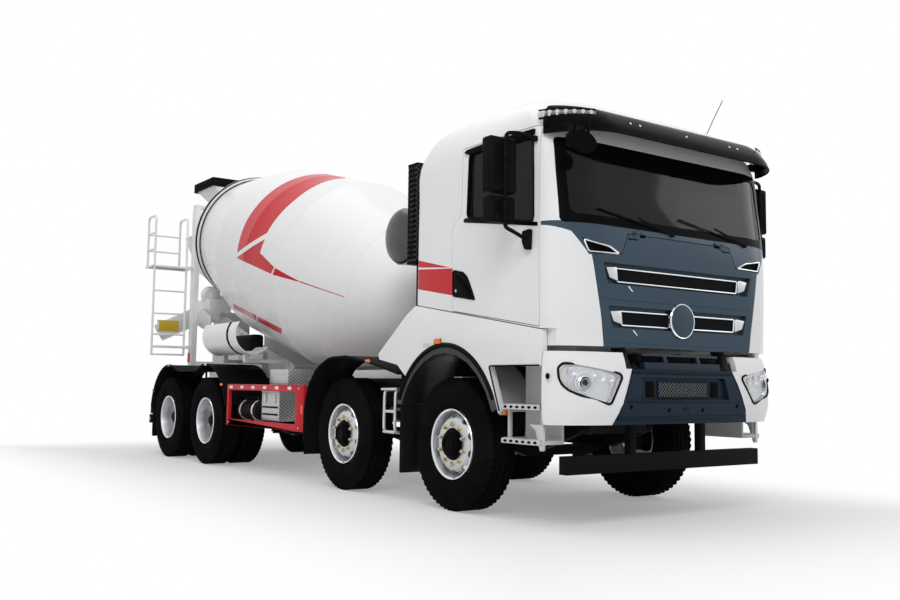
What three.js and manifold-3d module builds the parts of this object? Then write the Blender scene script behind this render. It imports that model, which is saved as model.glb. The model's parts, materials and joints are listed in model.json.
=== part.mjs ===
// Concrete mixer truck, four axles: two steered in front, two driven behind.
// Millimetres, +Z up, the cab faces -Y. Stations along Y are measured from the first axle and
// the whole truck is shifted at the end, so that the origin is under the middle of its box.
import * as THREE from "three";
import { mergeVertices } from "three/addons/utils/BufferGeometryUtils.js";
import Module from "manifold-3d";

const wasm = await Module();
wasm.setup();

// ---------------------------------------------------------------- driving dimensions
const AXLES_Y = [0, 1800, 5200, 6550]; // stations of the four axles
const BODY_HALF = 1245; // half the width over cab and tyres
const SEAT = 0.3; // gap between two pieces that sit on each other
const RUN = 0.5; // running gap at pins, spindles and rollers
const CLEAR = 8; // gap round doors and lids

const TYRE_R = 540;
const TYRE_W = 290;
const RIM_R = 286; // bead seat, where tyre and rim meet
const ROUND = 20; // facets round a wheel, with a flat one on the ground
const FRONT_TRACK = 1030; // middle of a front tyre from the centre line
const TWIN_OUTER = 1100; // middle of the outer rear tyre
const TWIN_PITCH = 335; // from the outer to the inner rear tyre
const SPINDLE_R = 55;
const KINGPIN_X = 905;

const RAIL_HALF = 425; // outer face of a frame rail
const RAIL_Z0 = 780;
const RAIL_H = 300;
const RAIL_FLANGE = 80;
const RAIL_WALL = 10;
const FRAME_FRONT = -1350;
const FRAME_REAR = 7150;
const CROSS_Y = [-1180, 1340, 2350, 3300, 4300, 5100, 5875, 6450, 7050];
const SUB_H = 90; // height of the mixer's own frame on top of the rails

const DRUM_TILT = THREE.MathUtils.degToRad(14.96);
const DRUM_R = 1147;
const DRUM_FOOT = [864, DRUM_R + 426]; // y, z where the drum's axis starts
const DRUM_WALL = 10;
const DRUM_HEAD_R = 700;
const DRUM_CONE = [1050, 2687, 4500]; // along the axis: front cone starts, barrel starts, barrel ends
const RING_AT = 5860; // middle of the raceway
const RING_R = 920;
const RING_W = 110;
const MOUTH_AT = 6400;
const MOUTH_R = 560;
const ROLLER_R = 125;
const ROLLER_ANGLE = THREE.MathUtils.degToRad(35);

const CAB_FRONT = -1420;
const CAB_REAR = 440;
const CAB_FLOOR = 1310;
const CAB_TOP = 3262;
const CAB_WALL = 50;
const CAB_FRONT_WALL = 115; // bulkhead and the pocket of the front panel
const LOW_WALL = 130; // the cab's side below the window line, where the fender stands outside it
const PANEL_T = 60;
const TILT_PIVOT = [-1380, 1150]; // y, z of the cab's tilt hinge
const DOOR_HINGE = [BODY_HALF - 23, -1180]; // x, y of a door's hinge line
const MIRROR_REACH = 355; // from the cab's side to the mirrors' outer edge
const DOOR_FRONT = -1180;
const DOOR_REAR = -118;
const DOOR_REAR_TOP = -240;
const DOOR_SILL = [1450, 1618]; // z at the front and at the rear of the door's lower edge
const DOOR_TOP = 2925;

const BUMPER_FRONT = -1470;
const BUMPER_REAR = -1215;
const BUMPER_Z = [745, 1270];

const TANK_R = 260;
const TANK_AT = [930, DRUM_FOOT[1] + 797]; // y, z of the water tank's axis
const TANK_HALF = 1150;

const SWIVEL_AT = [0, 7520]; // x, y of the chute's swivel
const CHUTE_R = 240;
const CHUTE_T = 6;
const CHUTE_YAW = THREE.MathUtils.degToRad(63); // parked to the right, from straight back
const CHUTE_SLOPE = THREE.MathUtils.degToRad(26);
const CHUTE_PIVOT_Z = 2090;
const CHUTE_LEN = 1420;

// ---------------------------------------------------------------- finishes
function finish(color, roughness, metalness = 0) {
  return new THREE.MeshStandardMaterial({ color, roughness, metalness });
}
const WHITE = finish(0xeeeeec, 0.3);
const BLUE_GREY = finish(0x475a6b, 0.35, 0.3);
const RED = finish(0xc8232e, 0.35);
const BLACK_STEEL = finish(0x1b1c1e, 0.55);
const BLACK_PLASTIC = finish(0x1a1a1b, 0.6);
const RUBBER = finish(0x161616, 0.85);
const SILVER = finish(0xb9bbbd, 0.3, 0.9);
const GLASS = finish(0x20262a, 0.05);
const CAST = finish(0x3a3c3e, 0.6, 0.5);
const TRIM = finish(0x2b2d30, 0.7);

// ---------------------------------------------------------------- solids
function solid(geometry) {
  const plain = geometry.index ? geometry.toNonIndexed() : geometry.clone();
  plain.deleteAttribute("normal");
  plain.deleteAttribute("uv");
  const g = mergeVertices(plain, 1e-3);
  const made = new wasm.Manifold(
    new wasm.Mesh({
      numProp: 3,
      vertProperties: new Float32Array(g.attributes.position.array),
      triVerts: new Uint32Array(g.index.array),
    }),
  );
  return made;
}

const join = (...parts) => parts.flat(Infinity).reduce((a, b) => a.add(b));
const cut = (base, ...tools) => tools.flat(Infinity).reduce((a, b) => a.subtract(b), base);

function box(x0, x1, y0, y1, z0, z1) {
  const g = new THREE.BoxGeometry(x1 - x0, y1 - y0, z1 - z0);
  return solid(g.translate((x0 + x1) / 2, (y0 + y1) / 2, (z0 + z1) / 2));
}

function prism(points, depth) {
  const outline = points.map(([a, b]) => new THREE.Vector2(a, b));
  if (THREE.ShapeUtils.isClockWise(outline)) outline.reverse();
  return new THREE.ExtrudeGeometry(new THREE.Shape(outline), { depth, bevelEnabled: false, steps: 1 });
}

// Outline in Y and Z, pushed along X.
function alongX(points, x0, x1) {
  const turn = new THREE.Matrix4().makeBasis(
    new THREE.Vector3(0, 1, 0),
    new THREE.Vector3(0, 0, 1),
    new THREE.Vector3(1, 0, 0),
  );
  return solid(prism(points, x1 - x0).applyMatrix4(turn).translate(x0, 0, 0));
}

// Outline in X and Z, pushed along Y.
function alongY(points, y0, y1) {
  return solid(prism(points, y1 - y0).rotateX(Math.PI / 2).translate(0, y1, 0));
}

// A round bar between two points.
function rod(from, to, radius, sides = 12) {
  const a = new THREE.Vector3(...from);
  const b = new THREE.Vector3(...to);
  const along = b.clone().sub(a);
  const g = new THREE.CylinderGeometry(radius, radius, along.length(), sides);
  const turn = new THREE.Quaternion().setFromUnitVectors(new THREE.Vector3(0, 1, 0), along.normalize());
  const middle = a.add(b).multiplyScalar(0.5);
  return solid(g.applyQuaternion(turn).translate(middle.x, middle.y, middle.z));
}

// A closed profile of [radius, place along the axis], turned round the Y axis.
function turned(profile, sides, phase = 0) {
  const points = profile.map(([r, s]) => new THREE.Vector2(Math.max(r, 0), s));
  const area = THREE.ShapeUtils.area(points);
  if (area < 0) points.reverse();
  if (profile[0][0] > 0) points.push(points[0].clone());
  return solid(new THREE.LatheGeometry(points, sides, phase));
}

// The same, with its axis laid along +X and one facet level underneath.
function turnedX(profile, sides = ROUND) {
  const upright = turned(profile, sides, Math.PI / sides);
  return upright.rotate([0, 0, -90]);
}

// Rings of equal length, bottom to top, skinned into one closed body.
function loft(rings) {
  const n = rings[0].length;
  const position = rings.flat(2);
  const index = [];
  for (let k = 0; k + 1 < rings.length; k++)
    for (let i = 0; i < n; i++) {
      const a = k * n + i;
      const b = k * n + ((i + 1) % n);
      index.push(a, b, b + n, a, b + n, a + n);
    }
  const cap = THREE.ShapeUtils.triangulateShape(rings[0].map(([x, y]) => new THREE.Vector2(x, y)), []);
  const last = (rings.length - 1) * n;
  for (const [a, b, c] of cap) index.push(a, c, b);
  const lid = THREE.ShapeUtils.triangulateShape(rings.at(-1).map(([x, y]) => new THREE.Vector2(x, y)), []);
  for (const [a, b, c] of lid) index.push(last + a, last + b, last + c);
  const g = new THREE.BufferGeometry();
  g.setAttribute("position", new THREE.Float32BufferAttribute(position, 3));
  g.setIndex(index);
  return solid(g);
}

function piece(name, made, material) {
  const m = made.getMesh();
  const v = new Float32Array(m.numVert * 3);
  for (let i = 0; i < m.numVert; i++) {
    const start = i * m.numProp;
    v.set(m.vertProperties.subarray(start, start + 3), i * 3);
  }
  const g = new THREE.BufferGeometry();
  g.setAttribute("position", new THREE.BufferAttribute(v, 3));
  g.setIndex(new THREE.BufferAttribute(new Uint32Array(m.triVerts), 1));
  const mesh = new THREE.Mesh(g, material);
  mesh.name = name;
  return mesh;
}

const truck = new THREE.Group();
function add(name, made, material, parent = truck) {
  const mesh = piece(name, made, material);
  parent.add(mesh);
  return mesh;
}
const SIDES = [["right", -1], ["left", 1]];
const flipX = (made, side) => (side > 0 ? made : made.mirror([1, 0, 0]));

// ---------------------------------------------------------------- chassis
function rail() {
  const inner = RAIL_HALF - RAIL_FLANGE;
  const top = RAIL_Z0 + RAIL_H;
  const section = [
    [inner, RAIL_Z0],
    [RAIL_HALF, RAIL_Z0],
    [RAIL_HALF, top],
    [inner, top],
    [inner, top - RAIL_WALL],
    [RAIL_HALF - RAIL_WALL, top - RAIL_WALL],
    [RAIL_HALF - RAIL_WALL, RAIL_Z0 + RAIL_WALL],
    [inner, RAIL_Z0 + RAIL_WALL],
  ];
  return alongY(section, FRAME_FRONT, FRAME_REAR);
}

const GUARD_FRONT = { y: [-1300, -1220], half: 1080, z: [390, 520] };
const GUARD_REAR = { y: [7330, 7410], half: 1200, z: [430, 550] };

function chassisFrame() {
  const right = rail().mirror([1, 0, 0]);
  const web = RAIL_HALF - RAIL_WALL / 2;
  const ties = CROSS_Y.map((y) => box(-web, web, y - 40, y + 40, RAIL_Z0 + 40, RAIL_Z0 + RAIL_H - 40));
  const { y, half, z } = GUARD_FRONT;
  const frontBar = box(-half, half, y[0], y[1], z[0], z[1]);
  const frontArms = SIDES.map(([, s]) =>
    flipX(box(RAIL_HALF - 60, RAIL_HALF, y[0] + 10, y[1] - 10, z[0] + 20, RAIL_Z0 + 5), s),
  );
  const rearBar = box(-GUARD_REAR.half, GUARD_REAR.half, ...GUARD_REAR.y, ...GUARD_REAR.z);
  const rearArms = SIDES.map(([, s]) => {
    const slant = [
      [FRAME_REAR - 160, RAIL_Z0 + 5],
      [FRAME_REAR, RAIL_Z0 + 5],
      [GUARD_REAR.y[1] - 5, GUARD_REAR.z[1] - 10],
      [GUARD_REAR.y[0] + 5, GUARD_REAR.z[0] + 10],
    ];
    return flipX(alongX(slant, RAIL_HALF - 70, RAIL_HALF), s);
  });
  const towers = SIDES.map(([, s]) => flipX(tiltTower(), s));
  return join(rail(), right, ties, frontBar, frontArms, rearBar, rearArms, towers);
}

// What carries the cab's tilt hinge: a bracket and one barrel of the hinge.
const TILT_X = [470, 540]; // barrel on the chassis; the cab's barrel sits outside it
function tiltTower() {
  const [py, pz] = TILT_PIVOT;
  const arm = box(RAIL_HALF - 5, TILT_X[1], py - 20, py + 60, 960, pz);
  const barrel = rod([TILT_X[0], py, pz], [TILT_X[1], py, pz], 38, 16);
  const foot = box(RAIL_HALF - 60, RAIL_HALF, FRAME_FRONT - 50, FRAME_FRONT + 40, 900, 1060);
  return join(arm, barrel, foot);
}

function engineBlock() {
  const web = RAIL_HALF - RAIL_WALL - SEAT;
  const body = box(-320, 320, -760, 520, 640, 1250);
  const under = RAIL_Z0 + RAIL_H - 20;
  const lugs = box(-web, web, -420, -300, under - 60, under);
  const gearbox = box(-200, 200, 510, 1250, 660, under);
  const shaft = rod([0, 1240, 720], [0, AXLES_Y[2] - 262, 590], 55, 10);
  return join(body, lugs, gearbox, shaft);
}

// Leaf spring of a front axle, seen from the side, with its hangers up to the rail.
function leafSpring(y, seatZ) {
  const reach = 700;
  const top = RAIL_Z0 - SEAT;
  const outline = [
    [-reach - 40, top],
    [-reach - 40, 680],
    [-reach, 640],
    [-300, seatZ],
    [300, seatZ],
    [reach, 640],
    [reach + 40, 680],
    [reach + 40, top],
    [reach - 30, top],
    [reach - 40, 700],
    [300, seatZ + 80],
    [-300, seatZ + 80],
    [-reach + 40, 700],
    [-reach + 30, top],
  ];
  return alongX(outline.map(([a, b]) => [y + a, b]), RAIL_HALF - 75, RAIL_HALF - 5);
}

function frontAxle(y) {
  const end = KINGPIN_X - 35;
  const outline = [
    [-end, -40],
    [-600, -40],
    [-380, -120],
    [380, -120],
    [600, -40],
    [end, -40],
    [end, 50],
    [580, 50],
    [360, -35],
    [-360, -35],
    [-580, 50],
    [-end, 50],
  ];
  const beam = alongY(outline.map(([x, z]) => [x, TYRE_R + z]), y - 45, y + 45);
  const bosses = SIDES.map(([, s]) =>
    rod([s * KINGPIN_X, y, KING_Z[0]], [s * KINGPIN_X, y, KING_Z[1]], 48, 16),
  );
  const springs = SIDES.map(([, s]) => flipX(leafSpring(y, TYRE_R - 40), s));
  return join(beam, bosses, springs);
}

// Kingpin boss of the beam, bottom and top, and the knuckle's fork round it.
const KING_Z = [TYRE_R - 65, TYRE_R + 65];
function knuckle(y) {
  const lug = 42;
  const web = [958, 1000];
  const lugs = [
    [KING_Z[0] - RUN - 40, KING_Z[0] - RUN],
    [KING_Z[1] + RUN, KING_Z[1] + RUN + 40],
  ].map(([z0, z1]) =>
    join(
      box(KINGPIN_X, web[1], y - lug, y + lug, z0, z1),
      rod([KINGPIN_X, y, z0], [KINGPIN_X, y, z1], 48, 16),
    ),
  );
  const plate = box(web[0], web[1], y - 60, y + 60, KING_Z[0] - RUN - 40, KING_Z[1] + RUN + 40);
  const spindle = turnedX([[0, web[1] - 5], [SPINDLE_R, web[1] - 5], [SPINDLE_R, 1128], [0, 1128]]);
  return join(lugs, plate, spindle.translate([0, y, TYRE_R]));
}

function rearBogie() {
  const [a, b] = AXLES_Y.slice(2);
  const middle = (a + b) / 2;
  const reach = TWIN_OUTER + 60;
  const axle = (y) => {
    const tube = rod([-600, y, TYRE_R], [600, y, TYRE_R], 75, 12);
    const spindle = turnedX([[0, -reach], [SPINDLE_R, -reach], [SPINDLE_R, reach], [0, reach]]);
    const bulb = turned(
      [[0, -260], [110, -250], [200, -120], [200, 80], [100, 190], [0, 200]],
      12,
    );
    return join(tube, spindle.translate([0, y, TYRE_R]), bulb.translate([0, y, TYRE_R]));
  };
  const side = RAIL_HALF + SEAT;
  const springs = SIDES.map(([, s]) => {
    const outline = [
      [a - 120, 60], [a + 120, 60], [middle, 150], [b - 120, 60], [b + 120, 60],
      [b + 120, 100], [middle + 200, 250], [middle - 200, 250], [a - 120, 100],
    ];
    const pack = alongX(outline.map(([y, z]) => [y, TYRE_R + z]), side + 25, side + 115);
    const trunnion = box(side, side + 120, middle - 110, middle + 110, TYRE_R + 100, RAIL_Z0 + 180);
    return flipX(join(pack, trunnion), s);
  });
  return join(axle(a), axle(b), springs);
}

// ---------------------------------------------------------------- wheels
// Outlines are [radius, place across the wheel], outer side of the truck positive.
function tyreOutline(middle) {
  const w = TYRE_W / 2;
  const r = TYRE_R / Math.cos(Math.PI / ROUND);
  return [
    [RIM_R, middle - 0.8 * w],
    [RIM_R + 130, middle - w],
    [r, middle - 0.82 * w],
    [r, middle + 0.82 * w],
    [RIM_R + 130, middle + w],
    [RIM_R, middle + 0.8 * w],
  ];
}

function frontTyre() {
  return turnedX(tyreOutline(FRONT_TRACK));
}

const HUB_BORE = (SPINDLE_R + SEAT) / Math.cos(Math.PI / ROUND);
function frontRim() {
  const w = 0.8 * TYRE_W / 2;
  const seat = RIM_R - SEAT;
  const [inner, outer] = [FRONT_TRACK - w, FRONT_TRACK + w];
  return turnedX([
    [seat, inner],
    [seat, outer],
    [seat - 22, outer],
    [seat - 34, outer - 60],
    [150, outer - 20],
    [130, outer + 12],
    [HUB_BORE, outer + 12],
    [HUB_BORE, outer - 100],
    [150, outer - 90],
    [seat - 46, outer - 100],
    [seat - 22, inner],
  ]);
}

function twinWheel() {
  const outer = tyreOutline(TWIN_OUTER);
  const inner = tyreOutline(TWIN_OUTER - TWIN_PITCH);
  const lip = inner[0][1];
  const face = TWIN_OUTER - 40;
  return turnedX([
    ...inner,
    ...outer,
    [RIM_R - 22, outer.at(-1)[1]],
    [RIM_R - 40, face],
    [130, face],
    [130, TWIN_OUTER + 40],
    [HUB_BORE, TWIN_OUTER + 40],
    [HUB_BORE, face - 60],
    [RIM_R - 40, face - 50],
    [RIM_R - 24, lip],
  ]);
}

function wheels() {
  AXLES_Y.forEach((y, i) => {
    for (const [side, s] of SIDES) {
      const place = (made) => flipX(made, s).translate([0, y, TYRE_R]);
      const tag = side + "_" + (i + 1);
      if (i < 2) {
        add("tyre_" + tag, place(frontTyre()), RUBBER);
        add("rim_" + tag, place(frontRim()), SILVER);
        add("knuckle_" + tag, flipX(knuckle(y), s), CAST);
      } else add("twin_wheel_" + tag, place(twinWheel()), RUBBER);
    }
  });
}

// ---------------------------------------------------------------- cab
// Plan outline of the cab: a rectangle with large oval corners in front and small ones behind.
const CORNER_STEPS = 4;
function planRing(z, front, rear, half, cornerX, cornerY, back) {
  const ring = [];
  const arc = (cx, cy, rx, ry, from, steps) => {
    for (let i = 0; i <= steps; i++) {
      const a = from + (i / steps) * (Math.PI / 2);
      ring.push([cx + rx * Math.cos(a), cy + ry * Math.sin(a), z]);
    }
  };
  arc(-half + cornerX, front + cornerY, cornerX, cornerY, Math.PI, CORNER_STEPS);
  arc(half - cornerX, front + cornerY, cornerX, cornerY, 1.5 * Math.PI, CORNER_STEPS);
  arc(half - back, rear - back, back, back, 0, 2);
  arc(-half + back, rear - back, back, back, 0.5 * Math.PI, 2);
  return ring;
}

// Levels of the cab's skin: height, front, rear, half width, corner across, corner along, rear corner.
const CAB_LEVELS = [
  [CAB_FLOOR, CAB_FRONT, CAB_REAR, BODY_HALF - 8, 430, 260, 60],
  [1750, CAB_FRONT - 12, CAB_REAR, BODY_HALF - 2, 430, 260, 70],
  [2150, CAB_FRONT - 5, CAB_REAR, BODY_HALF, 430, 250, 80],
  [2560, CAB_FRONT + 60, CAB_REAR, BODY_HALF - 3, 420, 200, 80],
  [2870, CAB_FRONT + 115, CAB_REAR - 10, BODY_HALF - 8, 400, 180, 80],
  [3080, CAB_FRONT + 210, CAB_REAR - 130, BODY_HALF - 55, 400, 230, 150],
  [3180, CAB_FRONT + 300, CAB_REAR - 280, BODY_HALF - 150, 400, 260, 200],
  [3240, CAB_FRONT + 430, CAB_REAR - 480, BODY_HALF - 320, 400, 260, 220],
  [CAB_TOP, CAB_FRONT + 600, CAB_REAR - 700, BODY_HALF - 520, 380, 240, 220],
];

function cabSkin(grow = 0, z0 = CAB_FLOOR, z1 = CAB_TOP) {
  const levels = CAB_LEVELS.filter(([z]) => z >= z0 && z <= z1);
  return loft(levels.map(([z, f, r, h, cx, cy, b]) => planRing(z, f - grow, r + grow, h + grow, cx, cy, b)));
}

function cabRoom() {
  const t = CAB_WALL;
  const levels = CAB_LEVELS.filter(([z]) => z < 3200);
  return loft(
    levels.map(([z, f, r, h, cx, cy, b], i) => {
      const lift = i === 0 ? t : z > 2900 ? -t : 0;
      const side = z < 2000 ? LOW_WALL : t;
      return planRing(z + lift, f + CAB_FRONT_WALL, r - t, h - side, cx - side, cy - t, Math.max(b - t, 10));
    }),
  );
}

const doorOutline = (grow) => [
  [DOOR_FRONT - grow, DOOR_SILL[0] - grow],
  [DOOR_REAR + grow, DOOR_SILL[1] - grow],
  [DOOR_REAR + grow, 2300],
  [DOOR_REAR_TOP + grow, 2400],
  [DOOR_REAR_TOP + grow, DOOR_TOP + grow],
  [DOOR_FRONT - grow, DOOR_TOP + grow],
];
const WINDOW = [
  [DOOR_FRONT + 55, 2215],
  [-310, 2350],
  [-330, 2870],
  [DOOR_FRONT + 65, 2850],
];

function cabWallSlab(outline, inner = BODY_HALF - 260) {
  return alongX(outline, inner, BODY_HALF + 40);
}

function doorPanel() {
  const hollow = cabRoom();
  const wall = cut(cabSkin(), hollow).intersect(cabWallSlab(doorOutline(0), BODY_HALF - 75));
  const [hx, hy] = DOOR_HINGE;
  const barrels = DOOR_BARRELS.map((z) => rod([hx, hy, z], [hx, hy, z + 60], 14, 10));
  const arms = DOOR_BARRELS.map((z) => box(hx - 12, hx + 8, hy, hy + 60, z + 2, z + 58));
  const body = cut(wall, cabWallSlab(WINDOW));
  const toe = box(BODY_HALF - 100, BODY_HALF + 50, hy - 10, hy + 70, DOOR_SILL[0] - 10, DOOR_SILL[0] + 14);
  return join(cut(body, hingePocket(18), toe), barrels, arms);
}

// How far the door's outer front corner turns out of its opening, with its clearance.
function doorSweep() {
  return BODY_HALF - DOOR_HINGE[0] + CLEAR;
}
function doorSwing() {
  const [hx, hy] = DOOR_HINGE;
  return rod([hx, hy, DOOR_SILL[0] - CLEAR], [hx, hy, DOOR_TOP + CLEAR], doorSweep(), 24);
}

// Hinge barrels: two on the door, with one of the cab's above each.
const DOOR_BARRELS = [1700, 2120];
function hingePocket(grow) {
  const [hx, hy] = DOOR_HINGE;
  return join(DOOR_BARRELS.map((z) => rod([hx, hy, z - 80], [hx, hy, z + 140], grow, 12)));
}
function cabHinges() {
  const [hx, hy] = DOOR_HINGE;
  return DOOR_BARRELS.map((z) =>
    join(
      rod([hx, hy, z + 60 + RUN], [hx, hy, z + 110], 14, 10),
      box(hx - 12, hx + 6, hy - 50, hy, z + 62, z + 108),
    ),
  );
}

// The opening of the front panel, narrower below, and of the windscreen above it. The cab's own
// corner pieces reach in over the panel's shoulders.
const PANEL_TOP = 2150;
const SHOULDER = [
  [945, 1975],
  [650, 1990],
];
const panelOutline = (grow) => {
  const half = [
    [820 + grow, CAB_FLOOR - 40],
    [850 + grow, 1500],
    [930 + grow, 1915],
    ...SHOULDER.map(([x, z]) => [x + grow, z + grow]),
    [577 + grow, PANEL_TOP + grow],
  ];
  return [...half, ...half.map(([x, z]) => [-x, z]).reverse()];
};
const SCREEN = { half: 1165, z: [2195, 2835] };

function cabShell() {
  const pocketDepth = PANEL_T + CLEAR;
  const behind = cabSkin().translate([0, pocketDepth, 0]);
  const pocket = cut(alongY(panelOutline(CLEAR), CAB_FRONT - 60, CAB_FRONT + 400), behind);
  const screen = box(-SCREEN.half, SCREEN.half, CAB_FRONT - 80, -1120, ...SCREEN.z);
  const doors = SIDES.map(([, s]) => flipX(cabWallSlab(doorOutline(CLEAR)), s));
  const pins = SIDES.map(([, s]) => flipX(join(hingePocket(20), doorSwing()), s));
  const notches = SIDES.map(([, s]) => flipX(barrelNotch(), s));
  const skirts = SIDES.map(([, s]) => flipX(fenderRoom(), s));
  const shell = cut(cabSkin(), cabRoom(), pocket, screen, doors, pins, notches, skirts);
  const hinges = SIDES.map(([, s]) => cabHinges().map((h) => flipX(h, s)));
  return join(shell, hinges, SIDES.map(([, s]) => flipX(tiltArm(), s)), panelBarrels(PANEL_PINS.cab));
}

// The cab's share of the tilt hinge, outside the chassis barrel.
function tiltArm() {
  const [py, pz] = TILT_PIVOT;
  const x0 = TILT_X[1] + RUN;
  const barrel = rod([x0, py, pz], [x0 + 60, py, pz], 38, 16);
  const outline = [
    [py - 26, pz],
    [py - 26, pz + 30],
    [py + 40, CAB_FLOOR + 20],
    [py + 140, CAB_FLOOR + 20],
    [py + 60, pz],
  ];
  return join(barrel, alongX(outline, x0, x0 + 60));
}

// Barrels along the front panel's top edge, side by side on cab and panel.
const PANEL_PINS = { cab: [400, 460], panel: [460 + RUN, 520] };
const PANEL_AXIS = [CAB_FRONT - 8, PANEL_TOP + 16];
function panelBarrels([x0, x1]) {
  const [y, z] = PANEL_AXIS;
  return SIDES.map(([, s]) => flipX(rod([x0, y, z], [x1, y, z], 12, 10), s));
}

function barrelNotch() {
  const [y, z] = PANEL_AXIS;
  return box(PANEL_PINS.cab[1], PANEL_PINS.panel[1] + 6, y - 40, y + 30, z - 30, z + 20);
}

// The cab's side ends above the fender along a line that climbs to the rear.
function fenderRoom() {
  const [y0, z0] = FENDER_TOP[0];
  const [y1, z1] = FENDER_TOP[1];
  const rise = (z1 - z0) / (y1 - y0);
  const line = (y) => z0 + CLEAR + rise * (y - y0);
  const outline = [
    [y0 - 300, CAB_FLOOR - 100],
    [y0 - 300, line(y0)],
    [y0, line(y0)],
    [y1 + 100, line(y1 + 100)],
    [y1 + 100, CAB_FLOOR - 100],
  ];
  return alongX(outline, FENDER_IN - CLEAR, BODY_HALF + 50);
}

function frontPanel() {
  const inner = cabSkin().translate([0, PANEL_T, 0]);
  const sheet = cut(cabSkin(), inner).intersect(alongY(panelOutline(0), CAB_FRONT - 60, CAB_FRONT + 400));
  const [y, z] = PANEL_AXIS;
  const tabs = SIDES.map(([, s]) => flipX(box(...PANEL_PINS.panel, y - 2, y + 12, PANEL_TOP - 30, z), s));
  return join(cut(sheet, panelRelief()), panelBarrels(PANEL_PINS.panel), tabs);
}

// Room in the panel for the cab's own barrels.
function panelRelief() {
  const [y, z] = PANEL_AXIS;
  const [x0, x1] = PANEL_PINS.cab;
  const room = box(x0 - 6, x1 + RUN, y - 30, y + 40, z - 30, z + 40);
  return join(SIDES.map(([, s]) => flipX(room, s)));
}

function windscreen() {
  const pane = cut(cabSkin(-6), cabSkin(-6).translate([0, 12, 0]));
  const half = SCREEN.half - SEAT;
  return pane.intersect(box(-half, half, CAB_FRONT - 80, -1120, SCREEN.z[0] + SEAT, SCREEN.z[1] - SEAT));
}

function sunVisor() {
  const levels = [
    [2850, CAB_FRONT - 160, BODY_HALF + 2, 460, 480],
    [3060, CAB_FRONT + 40, BODY_HALF + 2, 430, 330],
    [3085, CAB_FRONT + 190, BODY_HALF - 20, 400, 260],
  ];
  const ring = (inset) =>
    loft(levels.map(([z, f, h, cx, cy]) => planRing(z, f + inset, -600, h - inset, cx, cy, 30)));
  const sheet = cut(ring(0), ring(12).translate([0, 0, -0.01]), cabSkin(SEAT * 2));
  const rear = DOOR_HINGE[1] - doorSweep();
  const block = box(BODY_HALF - 145, BODY_HALF + 60, rear - 45, rear, 2900, 2960);
  const feet = SIDES.map(([, s]) => cut(flipX(block, s).intersect(ring(0)), cabSkin(SEAT)));
  return join(sheet.intersect(box(-BODY_HALF - 60, BODY_HALF + 60, -1700, rear, 2850, 3100)), feet);
}

function dashboard(shift = 0) {
  const floor = CAB_FLOOR + CAB_WALL + SEAT;
  const outline = [
    [-1240, floor],
    [-1240, 2170],
    [-1080, 2180],
    [-900, 2060],
    [-860, 1900],
    [-960, 1700],
    [-1120, floor],
  ];
  return alongX(outline.map(([y, z]) => [y + shift, z]), -975, 975);
}

const DRIVER_X = 610;
const WHEEL_LEAN = 45; // degrees between the steering column and the horizontal
function steeringWheel() {
  const tube = 17;
  const ring = turned(
    Array.from({ length: 6 }, (_, i) => {
      const a = (i / 6) * 2 * Math.PI;
      return [225 + tube * Math.cos(a), tube * Math.sin(a)];
    }),
    16,
  );
  const spoke = box(-226, 226, -8, 8, -22, 22);
  const hub = rod([0, -20, 0], [0, 14, 0], 60, 12);
  const column = rod([0, -480, 0], [0, -10, 0], 30, 10);
  const made = join(ring, spoke, hub, column).rotate([WHEEL_LEAN, 0, 0]);
  return cut(made.translate([DRIVER_X, -600, 2070]), dashboard(2 * SEAT));
}

function seat(x) {
  const floor = CAB_FLOOR + CAB_WALL + SEAT;
  const outline = [
    [-330, floor],
    [140, floor],
    [160, 1560],
    [330, 2200],
    [290, 2300],
    [200, 2290],
    [40, 1800],
    [-380, 1840],
    [-420, 1760],
    [-330, 1700],
  ];
  return alongX(outline, x - 250, x + 250);
}

function mirror() {
  const outer = BODY_HALF + MIRROR_REACH;
  const barX = outer - 128;
  const main = box(outer - 255, outer, -1060, -950, 2410, 2820);
  const low = box(outer - 250, outer, -1050, -955, 2190, 2390);
  const bar = rod([barX, -1075, 2140], [barX, -1075, 2845], 14, 8);
  const links = [2250, 2620].map((z) => rod([barX, -1075, z], [barX, -1040, z], 12, 8));
  const face = BODY_HALF + SEAT;
  const lowArm = rod([barX, -1075, 2150], [face + 20, -1075, 2075], 14, 8);
  const foot = box(face, face + 40, -1110, -1040, 2010, 2150);
  const topArm = rod([barX, -1075, 2835], [face + 15, -1145, 2825], 14, 8);
  const topFoot = box(face - 2, face + 30, -1172, -1122, 2800, 2840);
  return join(main, low, bar, links, lowArm, foot, topArm, topFoot);
}

function intakeStack() {
  const y = CAB_REAR + SEAT;
  return join(box(-1235, -1050, y, y + 155, 2060, 2950), box(-1165, -1050, y, y + 110, 1500, 2065));
}

// ---------------------------------------------------------------- front end below the cab
function frontBumper() {
  const levels = [
    [BUMPER_Z[0], BUMPER_FRONT + 40, BODY_HALF - 6],
    [900, BUMPER_FRONT, BODY_HALF],
    [1160, BUMPER_FRONT + 25, BODY_HALF],
    [BUMPER_Z[1], BUMPER_FRONT + 60, BODY_HALF - 4],
  ];
  const shape = (t, z0, z1) =>
    loft(
      levels.map(([z, f, h], i) => {
        const level = i === 0 ? z + z0 : i === levels.length - 1 ? z + z1 : z;
        return planRing(level, f + t, -900, h - t, 480 - t, 270 - t, 20);
      }),
    );
  const t = 50;
  const behind = box(-BODY_HALF - 155, BODY_HALF + 155, BUMPER_REAR, -800, 600, 1400);
  const skin = cut(shape(0, 0, 0), shape(t, -1, -t), behind);
  const ribs = SIDES.map(([, s]) =>
    flipX(box(RAIL_HALF - 70, RAIL_HALF, BUMPER_FRONT + 45, FRAME_FRONT - 50 - SEAT, 905, 1055), s),
  );
  const posts = SIDES.map(([, s]) => flipX(tiltRelief(), s));
  return join(cut(skin, posts), ribs);
}

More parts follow.
